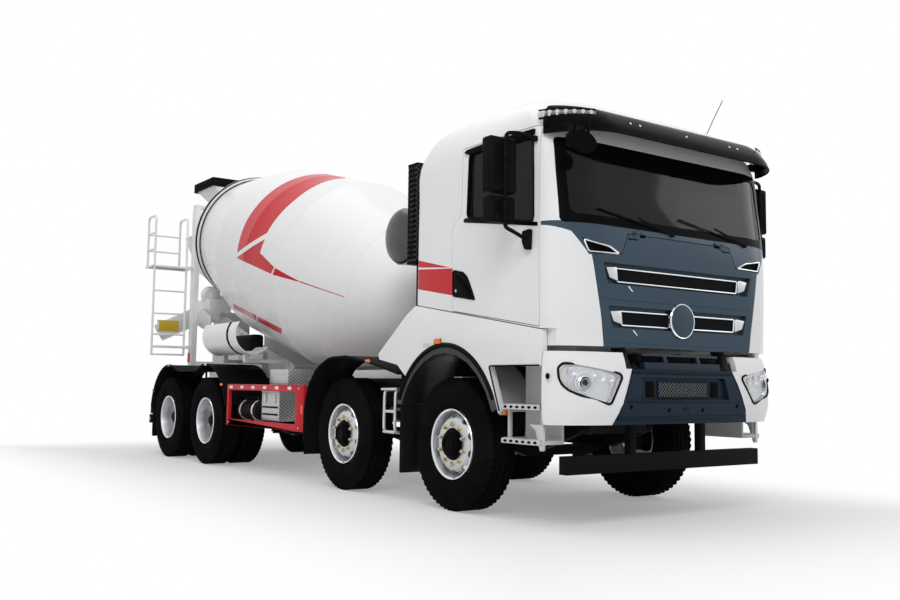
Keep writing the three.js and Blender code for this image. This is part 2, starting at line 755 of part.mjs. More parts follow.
// Slot in the bumper's top for the tilt hinge.
function tiltRelief() {
  const [py] = TILT_PIVOT;
  return box(RAIL_HALF - 20, TILT_X[1] + 90, py - 60, py + 400, 1100, 1400);
}

const FENDER_TOP = [
  [BUMPER_REAR + 10, 1424],
  [CAB_REAR - 20, 1690],
];
const FENDER_IN = BODY_HALF - 62; // inner face of the fender's skin
const ARCH = { y: 760, z: 820 }; // half length and height of the wheel arch over the axle
function archPoints(ry, rz, from, to, steps) {
  return Array.from({ length: steps + 1 }, (_, i) => {
    const a = THREE.MathUtils.degToRad(from + ((to - from) * i) / steps);
    return [ry * Math.cos(a), TYRE_R + rz * Math.sin(a)];
  });
}

function frontFender() {
  const skinT = 60;
  const outer = BODY_HALF - 2;
  const skin = [
    [BUMPER_REAR + 10, 1165],
    ...FENDER_TOP,
    [560, 1620],
    [1020, 1290],
    [1000, 1240],
    [700, 1190],
    ...archPoints(ARCH.y, ARCH.z, 42, 160, 10),
    [-745, 800],
    [-600, 1165],
  ];
  const flare = [...archPoints(ARCH.y + 2, ARCH.z + 2, 24, 158, 10), ...archPoints(690, 740, 158, 24, 10)];
  const liner = [...archPoints(710, 758, 24, 158, 10), ...archPoints(690, 740, 158, 24, 10)];
  const flap = box(800, 1225, 640, 652, 260, 900);
  const tail = box(800, outer - 4, 625, 690, 850, 900);
  const stay = box(RAIL_HALF + SEAT, 820, -60, 60, 1000, 1060);
  const stayDrop = box(790, 850, -60, 60, 1026, 1300);
  return join(
    alongX(skin, outer - skinT, outer),
    alongX(flare, FENDER_IN + 1, outer - 4),
    alongX(liner, 800, FENDER_IN + 20),
    flap,
    tail,
    stay,
    stayDrop,
    entryStep(),
  );
}

function entryStep() {
  const back = 1010;
  const outer = BODY_HALF - 10;
  const well = box(back, back + 20, -1195, -790, 600, 1180);
  const shelf = box(back, FENDER_IN + 5, -1195, -790, 1166, 1190);
  const treads = [
    box(back, outer, -1180, -790, 850, 880),
    box(back, outer, -1195, -760, 600, 630),
  ];
  const hangers = [-1180, -810].map((y) => box(outer - 60, outer - 35, y, y + 25, 620, 860));
  const arm = box(RAIL_HALF + SEAT, back + 10, -1000, -900, 900, 960);
  return join(well, shelf, treads, hangers, arm);
}

// ---------------------------------------------------------------- fenders, guards, tanks
// A band that follows a line of [y, z] points, with its thickness under the line.
function band(points, thickness, x0, x1) {
  const lower = points.map(([y, z], i) => {
    const [ay, az] = points[Math.max(i - 1, 0)];
    const [by, bz] = points[Math.min(i + 1, points.length - 1)];
    const length = Math.hypot(by - ay, bz - az);
    return [y - (thickness * (bz - az)) / -length, z - (thickness * (by - ay)) / length];
  });
  return alongX([...points, ...lower.reverse()], x0, x1);
}

function secondFender() {
  const y = AXLES_Y[1];
  const line = [
    [700, 1120],
    [1000, 1185],
    [1300, 1240],
    [y - 180, 1285],
    [y + 150, 1275],
    [y + 400, 1180],
    [y + 580, 1000],
    [y + 655, 780],
    [y + 665, 430],
  ];
  const stays = [1250, 2250].map((s) => box(RAIL_HALF + SEAT, 830, s - 25, s + 25, 1000, 1050));
  const drops = [1250, 2250].map((s) => box(800, 830, s - 25, s + 25, 1000, s < 2000 ? 1215 : 1100));
  return join(band(line, 16, 800, BODY_HALF - 5), stays, drops);
}

function rearFender() {
  const [a, b] = AXLES_Y.slice(2);
  const hump = (middle, from, to, steps) =>
    Array.from({ length: steps + 1 }, (_, i) => {
      const t = THREE.MathUtils.degToRad(from + ((to - from) * i) / steps);
      return [middle - 690 * Math.cos(t), TYRE_R + 20 + 690 * Math.sin(t)];
    });
  const line = [...hump(a, 16, 118, 7), ...hump(b, 62, 172, 7), [b + 606, 560], [b + 606, 280]];
  const stays = [a - 250, b + 250].map((s) => box(RAIL_HALF + SEAT, 612, s - 25, s + 25, 1000, 1050));
  const drops = [a - 250, b + 250].map((s) => box(596, 612, s - 25, s + 25, 1000, 1200));
  return join(band(line, 14, 596, BODY_HALF - 5), stays, drops);
}

function sideGuard() {
  const [x0, x1] = [1195, 1235];
  const [y0, y1] = [2490, 4490];
  const rails = [[930, 1000], [520, 590]].map(([z0, z1]) => box(x0, x1, y0, y1, z0, z1));
  const corner = box(x0, x1, y0, y0 + 190, 520, 1000);
  const turnIn = box(1080, x1, y0, y0 + 30, 520, 1000);
  const end = box(x0, x1, y1 - 50, y1, 520, 1000);
  const arms = [y0 + 60, y1 - 130].map((y) => box(RAIL_HALF + SEAT, x0 + 10, y, y + 60, 940, 990));
  return join(rails, corner, turnIn, end, arms);
}

const BOX_Y = [3240, 3690];
function batteryBox() {
  const arm = box(-660, -RAIL_HALF - SEAT, BOX_Y[0] + 60, BOX_Y[1] - 60, 800, 920);
  return join(box(-1150, -640, ...BOX_Y, 600, 925), box(-1050, -640, ...BOX_Y, 920, 1165), arm);
}

function airTanks() {
  const r = 118;
  const [y0, y1] = [3780, 4440];
  const profile = [[0, y0], [70, y0 + 14], [r, y0 + 60], [r, y1 - 60], [70, y1 - 14], [0, y1]];
  const tanks = [-1040, -785].map((x) => turned(profile, 16).translate([x, 0, 700]));
  const straps = [3920, 4260].map((y) => box(-1080, -RAIL_HALF - SEAT, y, y + 50, 790, 860));
  return join(tanks, straps);
}

function fuelTank() {
  const c = 70;
  const [x0, x1, z0, z1] = [620, 1160, 560, 1130];
  const section = [
    [x0 + c, z0], [x1 - c, z0], [x1, z0 + c], [x1, z1 - c],
    [x1 - c, z1], [x0 + c, z1], [x0, z1 - c], [x0, z0 + c],
  ];
  const arms = [2780, 3700].map((y) => box(RAIL_HALF + SEAT, x0 + 10, y, y + 80, 820, 940));
  const neck = rod([x1 - 200, 2800, z1 - 5], [x1 - 200, 2800, z1 + 40], 55, 12);
  return join(alongY(section, 2660, 3920), arms, neck);
}

// ---------------------------------------------------------------- mixer
const SUB_TOP = RAIL_Z0 + RAIL_H + SEAT + SUB_H;
function subframe() {
  const z0 = RAIL_Z0 + RAIL_H + SEAT;
  const rails = SIDES.map(([, s]) => flipX(box(350, RAIL_HALF, 850, FRAME_REAR, z0, SUB_TOP), s));
  const ties = [1000, 2300, 6000, 6900].map((y) => box(-360, 360, y, y + 80, z0, z0 + 60));
  return join(rails, ties);
}

// Turns a point of the drum's own axis frame into the truck's Y and Z.
function onDrumAxis(along, up = 0) {
  const [c, s] = [Math.cos(DRUM_TILT), Math.sin(DRUM_TILT)];
  return [DRUM_FOOT[0] + along * c - up * s, DRUM_FOOT[1] + along * s + up * c];
}
function layOnAxis(made) {
  return made.rotate([THREE.MathUtils.radToDeg(DRUM_TILT), 0, 0]).translate([0, ...DRUM_FOOT]);
}

const GEARBOX = [180, 560]; // along the drum's axis
const GEARBOX_R = 230;
const GEARBOX_SIDES = 16;
const SHAFT_R = 90;
function drum() {
  const [c0, c1, c2] = DRUM_CONE;
  const w = DRUM_WALL;
  const ring0 = RING_AT - RING_W / 2;
  const ring1 = RING_AT + RING_W / 2;
  const slope = (MOUTH_R - RING_R + 40) / (MOUTH_AT - ring1);
  const outside = [
    [0, GEARBOX[1] - 120],
    [SHAFT_R, GEARBOX[1] - 120],
    [SHAFT_R, 660],
    [260, 690],
    [500, 800],
    [DRUM_HEAD_R, c0],
    [DRUM_R, c1],
    [DRUM_R, c2],
    [RING_R - 40, ring0],
    [RING_R, ring0],
    [RING_R, ring1],
    [RING_R - 40, ring1],
    [MOUTH_R, MOUTH_AT],
  ];
  const inside = [
    [MOUTH_R - w, MOUTH_AT],
    [RING_R - 40 - w, ring1],
    [RING_R - 42 - w, ring0],
    [DRUM_R - w, c2 - w],
    [DRUM_R - w, c1 + w],
    [DRUM_HEAD_R - w, c0 + w],
    [495, 800 + w],
    [258, 690 + w],
    [0, 660 + w],
  ];
  return layOnAxis(turned([...outside, ...inside], 32));
}

function drumGearbox() {
  const r = GEARBOX_R;
  const bore = (SHAFT_R + RUN) / Math.cos(Math.PI / GEARBOX_SIDES);
  const [g0, g1] = GEARBOX;
  const profile = [
    [0, g0],
    [150, g0],
    [r, g0 + 90],
    [r, g1 - 60],
    [200, g1],
    [bore, g1],
    [bore, g1 - 130],
    [0, g1 - 130],
  ];
  return layOnAxis(turned(profile, GEARBOX_SIDES));
}

function frontPedestal() {
  const z0 = SUB_TOP + SEAT;
  const low = TANK_AT[1] - 380; // underside of the cross beam that carries the water tank
  const side = [
    [820, z0],
    [1560, z0],
    [1480, DRUM_FOOT[1] - 73],
    [1300, low - 90],
    [1080, low - 90],
    [1080, low + 70],
    [780, low + 70],
  ];
  const plates = SIDES.map(([, s]) => flipX(alongX(side, 350, 380), s));
  const [gy, gz] = onDrumAxis((GEARBOX[0] + GEARBOX[1]) / 2);
  const cradle = box(-355, 355, gy - 90, gy + 90, z0 + 20, gz - 40);
  const r = GEARBOX_R + SEAT;
  const [g0, g1] = [GEARBOX[0] - 400, GEARBOX[1] + 400];
  const room = layOnAxis(turned([[0, g0], [r, g0], [r, g1], [0, g1]], GEARBOX_SIDES));
  const beam = box(-600, 600, TANK_AT[0] - 110, TANK_AT[0] + 110, low, low + 170);
  const tank = turnedX([[0, -900], [TANK_R + SEAT, -900], [TANK_R + SEAT, 900], [0, 900]], 24);
  const tie = box(-355, 355, 830, 890, z0 + 10, DRUM_FOOT[1] - 73);
  const made = join(plates, beam, cut(cradle, room), tie);
  return cut(made, tank.translate([0, ...TANK_AT]));
}

function waterTank() {
  const r = TANK_R;
  const h = TANK_HALF;
  const profile = [
    [0, -h], [110, -h + 8], [200, -h + 32], [r, -h + 90],
    [r, h - 90], [200, h - 32], [110, h - 8], [0, h],
  ];
  return turnedX(profile, 24).translate([0, ...TANK_AT]);
}

const POST_X = [665, 740];
const POST_Y = [7060, 7200];
const HOPPER_SEAT = DRUM_FOOT[1] + 1987;
function mixerFrame() {
  const z0 = SUB_TOP - 5;
  const side = [
    [4400, z0],
    [POST_Y[0] + 5, z0],
    [POST_Y[0] + 5, 2010],
    [6600, 1950],
    [5500, 1560],
    [4400, 1250],
  ];
  const plates = SIDES.map(([, s]) => flipX(alongX(side, 395, 417), s));
  const posts = SIDES.map(([, s]) => flipX(box(...POST_X, ...POST_Y, z0, HOPPER_SEAT), s));
  const beams = [[z0, z0 + 150], [1900, 2050]].map(([a, b]) => box(-POST_X[1], POST_X[1], ...POST_Y, a, b));
  const rollers = SIDES.map(([, s]) => flipX(roller(), s));
  const shelf = box(-140, 140, POST_Y[1] - 5, SWIVEL_AT[1] + 90, 1560, 1620);
  const gusset = box(-100, 100, POST_Y[1] - 5, POST_Y[1] + 120, 1250, 1570);
  const web = box(-150, 150, POST_Y[0], POST_Y[1], z0, 1910);
  const ties = [4500, 5900].map((y) => box(-405, 405, y, y + 60, z0 + 5, z0 + 60));
  return join(subframe(), plates, posts, beams, rollers, shelf, gusset, web, ties);
}

// A support roller on its bracket. It lies along the drum's axis, under the raceway.
function roller() {
  const reach = RING_R + RUN + ROLLER_R;
  const x = reach * Math.sin(ROLLER_ANGLE);
  const drop = -reach * Math.cos(ROLLER_ANGLE);
  const along = (half, radius, sides) =>
    rod([x, ...onDrumAxis(RING_AT - half, drop)], [x, ...onDrumAxis(RING_AT + half, drop)], radius, sides);
  const wheel = along(70, ROLLER_R, 16);
  const pin = along(110, 40, 10);
  const [y, z] = onDrumAxis(RING_AT, drop);
  const seatBox = box(x - 90, x + 80, y - 150, POST_Y[0] + 10, 1905, z - 60);
  return join(wheel, pin, seatBox);
}

// Rings for hopper and discharge hood: [z, y0, y1, half width].
function funnel(levels, wall) {
  const ring = ([z, y0, y1, half], t) => [
    [-half + t, y0 + t, z],
    [half - t, y0 + t, z],
    [half - t, y1 - t, z],
    [-half + t, y1 - t, z],
  ];
  const outer = loft(levels.map((l) => ring(l, 0)));
  const beyond = (i) => (i === 0 ? -1 : i === levels.length - 1 ? 1 : 0);
  const stretch = levels.map(([z, ...rest], i) => [z + beyond(i), ...rest]);
  return cut(outer, loft(stretch.map((l) => ring(l, wall))));
}

const HOPPER = [
  [HOPPER_SEAT - 220, 6900, 7120, 200],
  [HOPPER_SEAT + 100, 6960, 7420, 330],
  [HOPPER_SEAT + 400, 6950, 7680, 540],
  [HOPPER_SEAT + 480, 6950, 7680, 540],
];
function hopper() {
  const shelf = box(285, POST_X[1], POST_Y[0] + 20, POST_Y[1] - 20, HOPPER_SEAT + SEAT, HOPPER_SEAT + 60);
  const rest = SIDES.map(([, s]) => flipX(shelf, s));
  const hollow = funnel(HOPPER, 10);
  const room = loft(
    HOPPER.map(([z, y0, y1, half]) => [
      [-half + 5, y0 + 5, z],
      [half - 5, y0 + 5, z],
      [half - 5, y1 - 5, z],
      [-half + 5, y1 - 5, z],
    ]),
  );
  return join(hollow, rest.map((r) => cut(r, room)));
}

function dischargeHood() {
  const top = HOPPER_SEAT - 360;
  const levels = [
    [HOPPER_SEAT - 1085, SWIVEL_AT[1] - 125, SWIVEL_AT[1] + 125, 140],
    [HOPPER_SEAT - 860, 7290, 7760, 420],
    [top, 7210, 7700, POST_X[0] - SEAT],
  ];
  const open = box(-POST_X[0] + 80, POST_X[0] - 80, 7000, 7420, top - 470, top + 100);
  const ear = box(POST_X[0] - 12 - SEAT, POST_X[0] - SEAT, POST_Y[0] + 60, 7260, top - 80, top);
  const ears = SIDES.map(([, s]) => flipX(ear, s));
  return join(cut(funnel(levels, 8), open), ears);
}

function ladderPlatform() {
  const [x0, x1] = [-1270, -800];
  const y = 7225;
  const floorZ = 2670;
  const back = 7560;
  const r = 17;
  const top = 3420;
  const rails = [x0, x1].map((x) => rod([x, y, 1390], [x, y, top], r, 6));
  const rungs = [1410, 1700, 2000, 2330].map((z) => rod([x0, y, z], [x1, y, z], 14, 6));
  const floor = box(x0 - 20, -700, y - 20, back, floorZ, floorZ + 30);
  const legs = [x0, x1].map((x) => rod([x, back - 20, floorZ + 10], [x, back - 20, top], r, 6));
  const tops = [x0, x1].map((x) => rod([x, y, top], [x, back - 20, top], r, 6));
  const bars = [2930, 3170].map((z) => rod([x0, back - 20, z], [x1, back - 20, z], 13, 6));
  const arms = [floorZ - 10, 1500].map((z) =>
    box(x1 - 15, -POST_X[1] - SEAT, POST_Y[0] + 20, y + 15, z, z + 40),
  );
  const low = box(x0, -POST_X[1] - SEAT, y - 15, y + 15, 1500, 1540);
  const knob = (x, py) => rod([x, py, top - 17], [x, py, top + 17], r + 1, 8);
  const knobs = [x0, x1].flatMap((x) => [knob(x, y), knob(x, back - 20)]);
  return join(rails, rungs, floor, legs, tops, bars, arms, low, knobs);
}

// Half pipe along +Y, open upwards, its rim at z = 0.
function trough(radius, y0, y1) {
  const steps = 10;
  const arc = (r) =>
    Array.from({ length: steps + 1 }, (_, i) => {
      const a = Math.PI + (i / steps) * Math.PI;
      return [r * Math.cos(a), r * Math.sin(a)];
    });
  return alongY([...arc(radius), ...arc(radius - CHUTE_T).reverse()], y0, y1);
}

function storedTrough() {
  const made = trough(CHUTE_R, 4360, 5400).rotate([0, 38, 0]).translate([-975, 0, 1600]);
  const arms = [4520, 5180].map((y) => {
    const post = box(-1010, -950, y, y + 60, 1300, 1362);
    const arm = box(-1010, -RAIL_HALF - SEAT, y, y + 60, 1262, 1306);
    const foot = box(-RAIL_HALF - SEAT - 30, -RAIL_HALF - SEAT, y, y + 60, 1000, 1300);
    return join(post, arm, foot);
  });
  return join(made, arms);
}

// The chute hangs on its swivel in a group turned to the parked angle: +Y runs down the chute.
const CARRIER_FOOT = 1620 + RUN;
function chuteCarrier() {
  const post = rod([0, 0, CARRIER_FOOT], [0, 0, 1960], 45, 16);
  const plate = rod([0, 0, CARRIER_FOOT], [0, 0, CARRIER_FOOT + 20], 85, 16);
  const head = box(-150, 150, -50, 50, 1900, 1950);
  const cheeks = SIDES.map(([, s]) => flipX(box(130, 150, -40, 40, 1900, CHUTE_PIVOT_Z + 15), s));
  return cut(join(post, plate, head, cheeks), box(-120, 120, -60, 60, 1951, 2200));
}

function chuteTrough() {
  const slope = THREE.MathUtils.radToDeg(CHUTE_SLOPE);
  const rim = CHUTE_PIVOT_Z + CHUTE_R + 45;
  const laid = (made) => made.rotate([-slope, 0, 0]).translate([0, 0, rim]);
  const made = laid(trough(CHUTE_R, -230, CHUTE_LEN - 230));
  const lug = box(-130 + RUN, 130 - RUN, -30, 30, CHUTE_PIVOT_Z - 30, CHUTE_PIVOT_Z + 120);
  const inside = laid(trough(CHUTE_R - CHUTE_T / 2, -400, CHUTE_LEN)).hull();
  return join(made, cut(lug, inside));
}

function chute() {
  const hang = new THREE.Group();
  hang.position.set(SWIVEL_AT[0], SWIVEL_AT[1], 0);
  hang.rotation.z = CHUTE_YAW;
  add("chute_carrier", chuteCarrier(), WHITE, hang);
  add("chute", chuteTrough(), WHITE, hang);
  truck.add(hang);
}

// ---------------------------------------------------------------- the whole truck
add("chassis_frame", chassisFrame(), BLACK_STEEL);
add("engine_block", engineBlock(), CAST);
add("front_axle_1", frontAxle(AXLES_Y[0]), BLACK_STEEL);
add("front_axle_2", frontAxle(AXLES_Y[1]), BLACK_STEEL);
add("rear_bogie", rearBogie(), BLACK_STEEL);
wheels();
add("cab_shell", cabShell(), WHITE);
add("windscreen", windscreen(), GLASS);
add("front_panel", frontPanel(), BLUE_GREY);
add("sun_visor", sunVisor(), BLACK_PLASTIC);
add("dashboard", dashboard(), TRIM);
add("steering_wheel", steeringWheel(), TRIM);
add("intake_stack", intakeStack(), BLACK_PLASTIC);
for (const [side, s] of SIDES) {
  add("seat_" + side, seat(s * DRIVER_X), TRIM);
  add("door_" + side, flipX(doorPanel(), s), WHITE);
  add("mirror_" + side, flipX(mirror(), s), BLACK_PLASTIC);
  add("front_fender_" + side, flipX(frontFender(), s), WHITE);
  add("second_fender_" + side, flipX(secondFender(), s), BLACK_PLASTIC);
  add("rear_fender_" + side, flipX(rearFender(), s), BLACK_PLASTIC);
  add("side_guard_" + side, flipX(sideGuard(), s), RED);
}
add("front_bumper", frontBumper(), WHITE);
add("battery_box", batteryBox(), SILVER);
add("air_tanks", airTanks(), BLACK_STEEL);
add("fuel_tank", fuelTank(), SILVER);
add("drum", drum(), WHITE);
add("drum_gearbox", drumGearbox(), CAST);
add("front_pedestal", frontPedestal(), WHITE);
add("water_tank", waterTank(), SILVER);
add("mixer_frame", mixerFrame(), WHITE);
add("hopper", hopper(), WHITE);
add("discharge_hood", dischargeHood(), WHITE);
add("rear_ladder", ladderPlatform(), WHITE);
add("stored_chute", storedTrough(), WHITE);
chute();

// Puts the origin under the middle of the truck's box.
const truckBox = new THREE.Box3().setFromObject(truck, true);
truck.position.set(0, -(truckBox.min.y + truckBox.max.y) / 2, 0);
const root = new THREE.Group();
root.add(truck);

export default root;
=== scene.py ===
# %% [markdown]
# # A concrete mixer truck
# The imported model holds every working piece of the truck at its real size. This lesson gives
# those pieces their finish and adds what a person sees close up: tread, nuts, lamps, glass, seams.
# The camera comes first, then the finishes, then the truck from its wheels upwards, and last
# the floor and the light.

# %% Load the frame
import json
import math

import bmesh
import bpy
from mathutils import Matrix, Vector
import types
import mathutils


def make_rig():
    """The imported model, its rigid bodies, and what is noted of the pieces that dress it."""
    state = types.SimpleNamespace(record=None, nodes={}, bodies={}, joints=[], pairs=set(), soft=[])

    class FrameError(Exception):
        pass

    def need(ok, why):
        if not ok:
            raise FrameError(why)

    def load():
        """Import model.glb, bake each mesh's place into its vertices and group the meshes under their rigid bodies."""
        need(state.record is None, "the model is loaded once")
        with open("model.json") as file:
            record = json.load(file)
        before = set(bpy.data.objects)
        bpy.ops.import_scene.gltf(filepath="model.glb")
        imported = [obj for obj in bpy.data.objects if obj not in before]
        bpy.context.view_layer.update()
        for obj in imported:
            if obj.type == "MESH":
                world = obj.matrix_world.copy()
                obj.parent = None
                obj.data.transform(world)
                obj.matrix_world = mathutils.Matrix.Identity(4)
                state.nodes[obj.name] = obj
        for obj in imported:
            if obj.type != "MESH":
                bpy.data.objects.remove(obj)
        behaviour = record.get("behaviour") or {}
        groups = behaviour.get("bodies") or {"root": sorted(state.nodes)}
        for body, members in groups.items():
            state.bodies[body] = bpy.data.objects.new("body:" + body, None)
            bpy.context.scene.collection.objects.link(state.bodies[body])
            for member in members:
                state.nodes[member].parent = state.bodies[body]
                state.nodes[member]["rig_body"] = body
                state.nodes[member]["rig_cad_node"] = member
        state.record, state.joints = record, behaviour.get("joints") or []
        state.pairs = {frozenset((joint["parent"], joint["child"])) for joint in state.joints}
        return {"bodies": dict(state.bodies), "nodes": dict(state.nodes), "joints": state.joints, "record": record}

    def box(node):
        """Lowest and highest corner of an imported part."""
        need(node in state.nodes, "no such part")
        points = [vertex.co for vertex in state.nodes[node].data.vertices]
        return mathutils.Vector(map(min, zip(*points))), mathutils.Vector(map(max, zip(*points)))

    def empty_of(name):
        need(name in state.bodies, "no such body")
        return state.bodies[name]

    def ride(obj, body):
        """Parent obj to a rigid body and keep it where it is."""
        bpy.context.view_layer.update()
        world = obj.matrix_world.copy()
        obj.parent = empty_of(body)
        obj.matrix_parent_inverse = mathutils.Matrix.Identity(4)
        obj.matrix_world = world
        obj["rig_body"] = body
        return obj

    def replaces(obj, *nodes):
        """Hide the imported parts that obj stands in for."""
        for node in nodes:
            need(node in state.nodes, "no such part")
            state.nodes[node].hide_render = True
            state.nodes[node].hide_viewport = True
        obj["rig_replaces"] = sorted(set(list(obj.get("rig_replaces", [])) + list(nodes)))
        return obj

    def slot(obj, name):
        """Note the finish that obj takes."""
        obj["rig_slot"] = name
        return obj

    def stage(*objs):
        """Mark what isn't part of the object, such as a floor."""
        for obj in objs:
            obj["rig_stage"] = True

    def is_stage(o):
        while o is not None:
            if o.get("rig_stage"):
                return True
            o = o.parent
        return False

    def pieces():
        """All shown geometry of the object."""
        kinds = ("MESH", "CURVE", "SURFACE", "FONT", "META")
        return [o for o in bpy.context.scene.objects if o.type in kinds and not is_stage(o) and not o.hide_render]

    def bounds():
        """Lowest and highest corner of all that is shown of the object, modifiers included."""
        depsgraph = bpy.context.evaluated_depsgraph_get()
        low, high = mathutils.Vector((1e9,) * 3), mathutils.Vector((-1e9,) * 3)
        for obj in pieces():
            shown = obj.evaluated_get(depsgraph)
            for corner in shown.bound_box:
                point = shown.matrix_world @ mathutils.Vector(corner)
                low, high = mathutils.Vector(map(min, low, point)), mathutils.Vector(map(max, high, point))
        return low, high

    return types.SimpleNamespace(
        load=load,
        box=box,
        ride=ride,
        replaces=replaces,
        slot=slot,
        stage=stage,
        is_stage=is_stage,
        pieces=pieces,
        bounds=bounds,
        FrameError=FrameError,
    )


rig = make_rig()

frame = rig.load()
cad_box = [list(corner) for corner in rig.bounds()]
nodes = frame["nodes"]
print("frame:", len(nodes), "nodes, box", cad_box)

# %% [markdown]
# ## Camera
# The truck is seen from its front right corner, from about the height of a wheel's top. The camera
# looks 35.5 degrees to the left of straight back along the truck, and slightly upwards.

# %% Camera
YAW, PITCH, ROLL = (math.radians(a) for a in (35.507, 5.077, 0.655))
CAMERA_PLACE = (-5.7196, -9.6783, 1.0223)
camera_data = bpy.data.cameras.new("camera")
camera_data.lens = 38.08
camera = bpy.data.objects.new("camera", camera_data)
bpy.context.collection.objects.link(camera)
ahead = Vector((math.sin(YAW) * math.cos(PITCH), math.cos(YAW) * math.cos(PITCH), math.sin(PITCH)))
level = ahead.cross(Vector((0, 0, 1))).normalized()
above = level.cross(ahead)
right = level * math.cos(ROLL) + above * math.sin(ROLL)
up = above * math.cos(ROLL) - level * math.sin(ROLL)
turned = Matrix((right, up, -ahead)).transposed().to_4x4()
camera.matrix_world = Matrix.Translation(CAMERA_PLACE) @ turned
bpy.context.scene.camera = camera
print("camera at", tuple(round(v, 2) for v in camera.location))

# %% [markdown]
# ## Shader maths
# A finish is a small network of nodes. Written as plain expressions it stays readable: `Value`
# wraps one socket, and adding or multiplying two values adds the Math node that does it.

# %% Shader maths
class Value:
    """One number that changes over a surface, as the output of a node."""

    def __init__(self, finish, socket):
        self.finish = finish
        self.socket = socket

    def math(self, operation, *others):
        inputs = {i: v for i, v in enumerate((self, *others))}
        return Value(self.finish,
                     self.finish.node("ShaderNodeMath", {"operation": operation}, inputs).outputs[0])

    def __add__(self, other): return self.math("ADD", other)
    def __sub__(self, other): return self.math("SUBTRACT", other)
    def __mul__(self, other): return self.math("MULTIPLY", other)
    def __rsub__(self, other): return (self * -1) + other
    def __abs__(self): return self.math("ABSOLUTE")
    __radd__ = __add__
    __rmul__ = __mul__

    def above(self, edge): return self.math("GREATER_THAN", edge)
    def below(self, edge): return self.math("LESS_THAN", edge)
    def larger(self, other): return self.math("MAXIMUM", other)
    def smaller(self, other): return self.math("MINIMUM", other)
    def between(self, low, high): return self.above(low) * self.below(high)

    def fade(self, start, end):
        settings = {"interpolation_type": "SMOOTHSTEP"}
        made = self.finish.node("ShaderNodeMapRange", settings,
                                {"Value": self, "From Min": start, "From Max": end})
        return Value(self.finish, made.outputs[0])


class Finish:
    """A material with one Principled shader, and the few nodes that vary it."""

    def __init__(self, name, color, roughness, metallic=0.0, **sockets):
        self.material = bpy.data.materials.new(name)
        self.material.use_nodes = True
        self.nodes = self.material.node_tree.nodes
        self.links = self.material.node_tree.links
        self.shader = self.nodes["Principled BSDF"]
        self.shader.inputs["Base Color"].default_value = (*color, 1.0)
        self.shader.inputs["Roughness"].default_value = roughness
        self.shader.inputs["Metallic"].default_value = metallic
        for socket, value in sockets.items():
            self.shader.inputs[socket.replace("_", " ")].default_value = value
        self.place = self.node("ShaderNodeTexCoord").outputs["Object"]

    def node(self, kind, settings=None, inputs=None):
        made = self.nodes.new(kind)
        for key, value in (settings or {}).items():
            setattr(made, key, value)
        for key, value in (inputs or {}).items():
            if isinstance(value, Value):
                value = value.socket
            if isinstance(value, bpy.types.NodeSocket):
                self.links.new(value, made.inputs[key])
            else:
                made.inputs[key].default_value = value
        return made

    def set(self, socket, value):
        self.links.new(value.socket if isinstance(value, Value) else value, self.shader.inputs[socket])

    def noise(self, scale, detail=4.0, stretch=(1, 1, 1)):
        spread = self.node("ShaderNodeMapping", None, {"Vector": self.place, "Scale": stretch})
        inputs = {"Vector": spread.outputs[0], "Scale": scale, "Detail": detail}
        return Value(self, self.node("ShaderNodeTexNoise", None, inputs).outputs["Fac"])

    def axes(self):
        split = self.node("ShaderNodeSeparateXYZ", None, {"Vector": self.place})
        return [Value(self, socket) for socket in split.outputs]

    def mix(self, share, first, second):
        inputs = {"Factor": share, "A": first, "B": second}
        made = self.node("ShaderNodeMix", {"data_type": "RGBA"})
        for socket in made.inputs:
            if socket.enabled and socket.name in inputs:
                value = inputs[socket.name]
                if isinstance(value, Value):
                    self.links.new(value.socket, socket)
                elif isinstance(value, bpy.types.NodeSocket):
                    self.links.new(value, socket)
                elif socket.name == "Factor":
                    socket.default_value = value
                else:
                    socket.default_value = (*value[:3], 1.0)
        return [s for s in made.outputs if s.enabled][0]

    def bump(self, height, distance, strength=1.0):
        inputs = {"Height": height, "Distance": distance, "Strength": strength}
        self.set("Normal", self.node("ShaderNodeBump", None, inputs).outputs["Normal"])

    def wear(self, dark, light, low, high, scale):
        """Colour and roughness drift a little over the surface, as on any real finish."""
        drift = self.noise(scale).fade(0.3, 0.7)
        self.set("Base Color", self.mix(drift, dark, light))
        self.set("Roughness", drift * (high - low) + low)


finishes = {}


def shades(color, share):
    """The same colour a little darker and a little lighter."""
    return [tuple(c * (1 - share) for c in color), tuple(min(c * (1 + share), 1) for c in color)]


# %% [markdown]
# ## Paints, plastics, metals and rubber
# Truck paint is a coloured coat under clear lacquer, so it gets a coat and an almost invisible
# orange peel. Plastics are grained, castings are rough, brushed metal is streaked one way, and
# rubber is dull with a little dust.

# %% Paints
def paint(name, color, roughness=0.28, coat=0.12, peel=0.00004, metallic=0.0, shine=0.4, ior=1.4):
    made = Finish(name, color, roughness, metallic, Coat_Weight=coat, Coat_Roughness=0.06, Coat_IOR=1.4,
                  Specular_IOR_Level=shine, IOR=ior)
    made.wear(*shades(color, 0.025), roughness - 0.03, roughness + 0.04, 0.9)
    made.bump(made.noise(160, 2), peel, 0.25)
    finishes[name] = made
    return made


WHITE = (0.82, 0.825, 0.83)
RED = (0.56, 0.014, 0.022)
BLUE_GREY = (0.040, 0.068, 0.096)
paint("white_paint", WHITE)
paint("blue_grey_paint", BLUE_GREY, 0.34, 0.08, metallic=0.1, shine=0.25, ior=1.3)
paint("navy_paint", (0.010, 0.021, 0.036), 0.42, 0.0, shine=0.2, ior=1.2)
paint("red_paint", RED, 0.34, 0.05, shine=0.2, ior=1.25)
paint("yellow_paint", (0.55, 0.36, 0.02), 0.4, 0.2)
paint("chassis_black", (0.008, 0.008, 0.009), 0.5, 0.0, 0.0001, shine=0.2, ior=1.15)


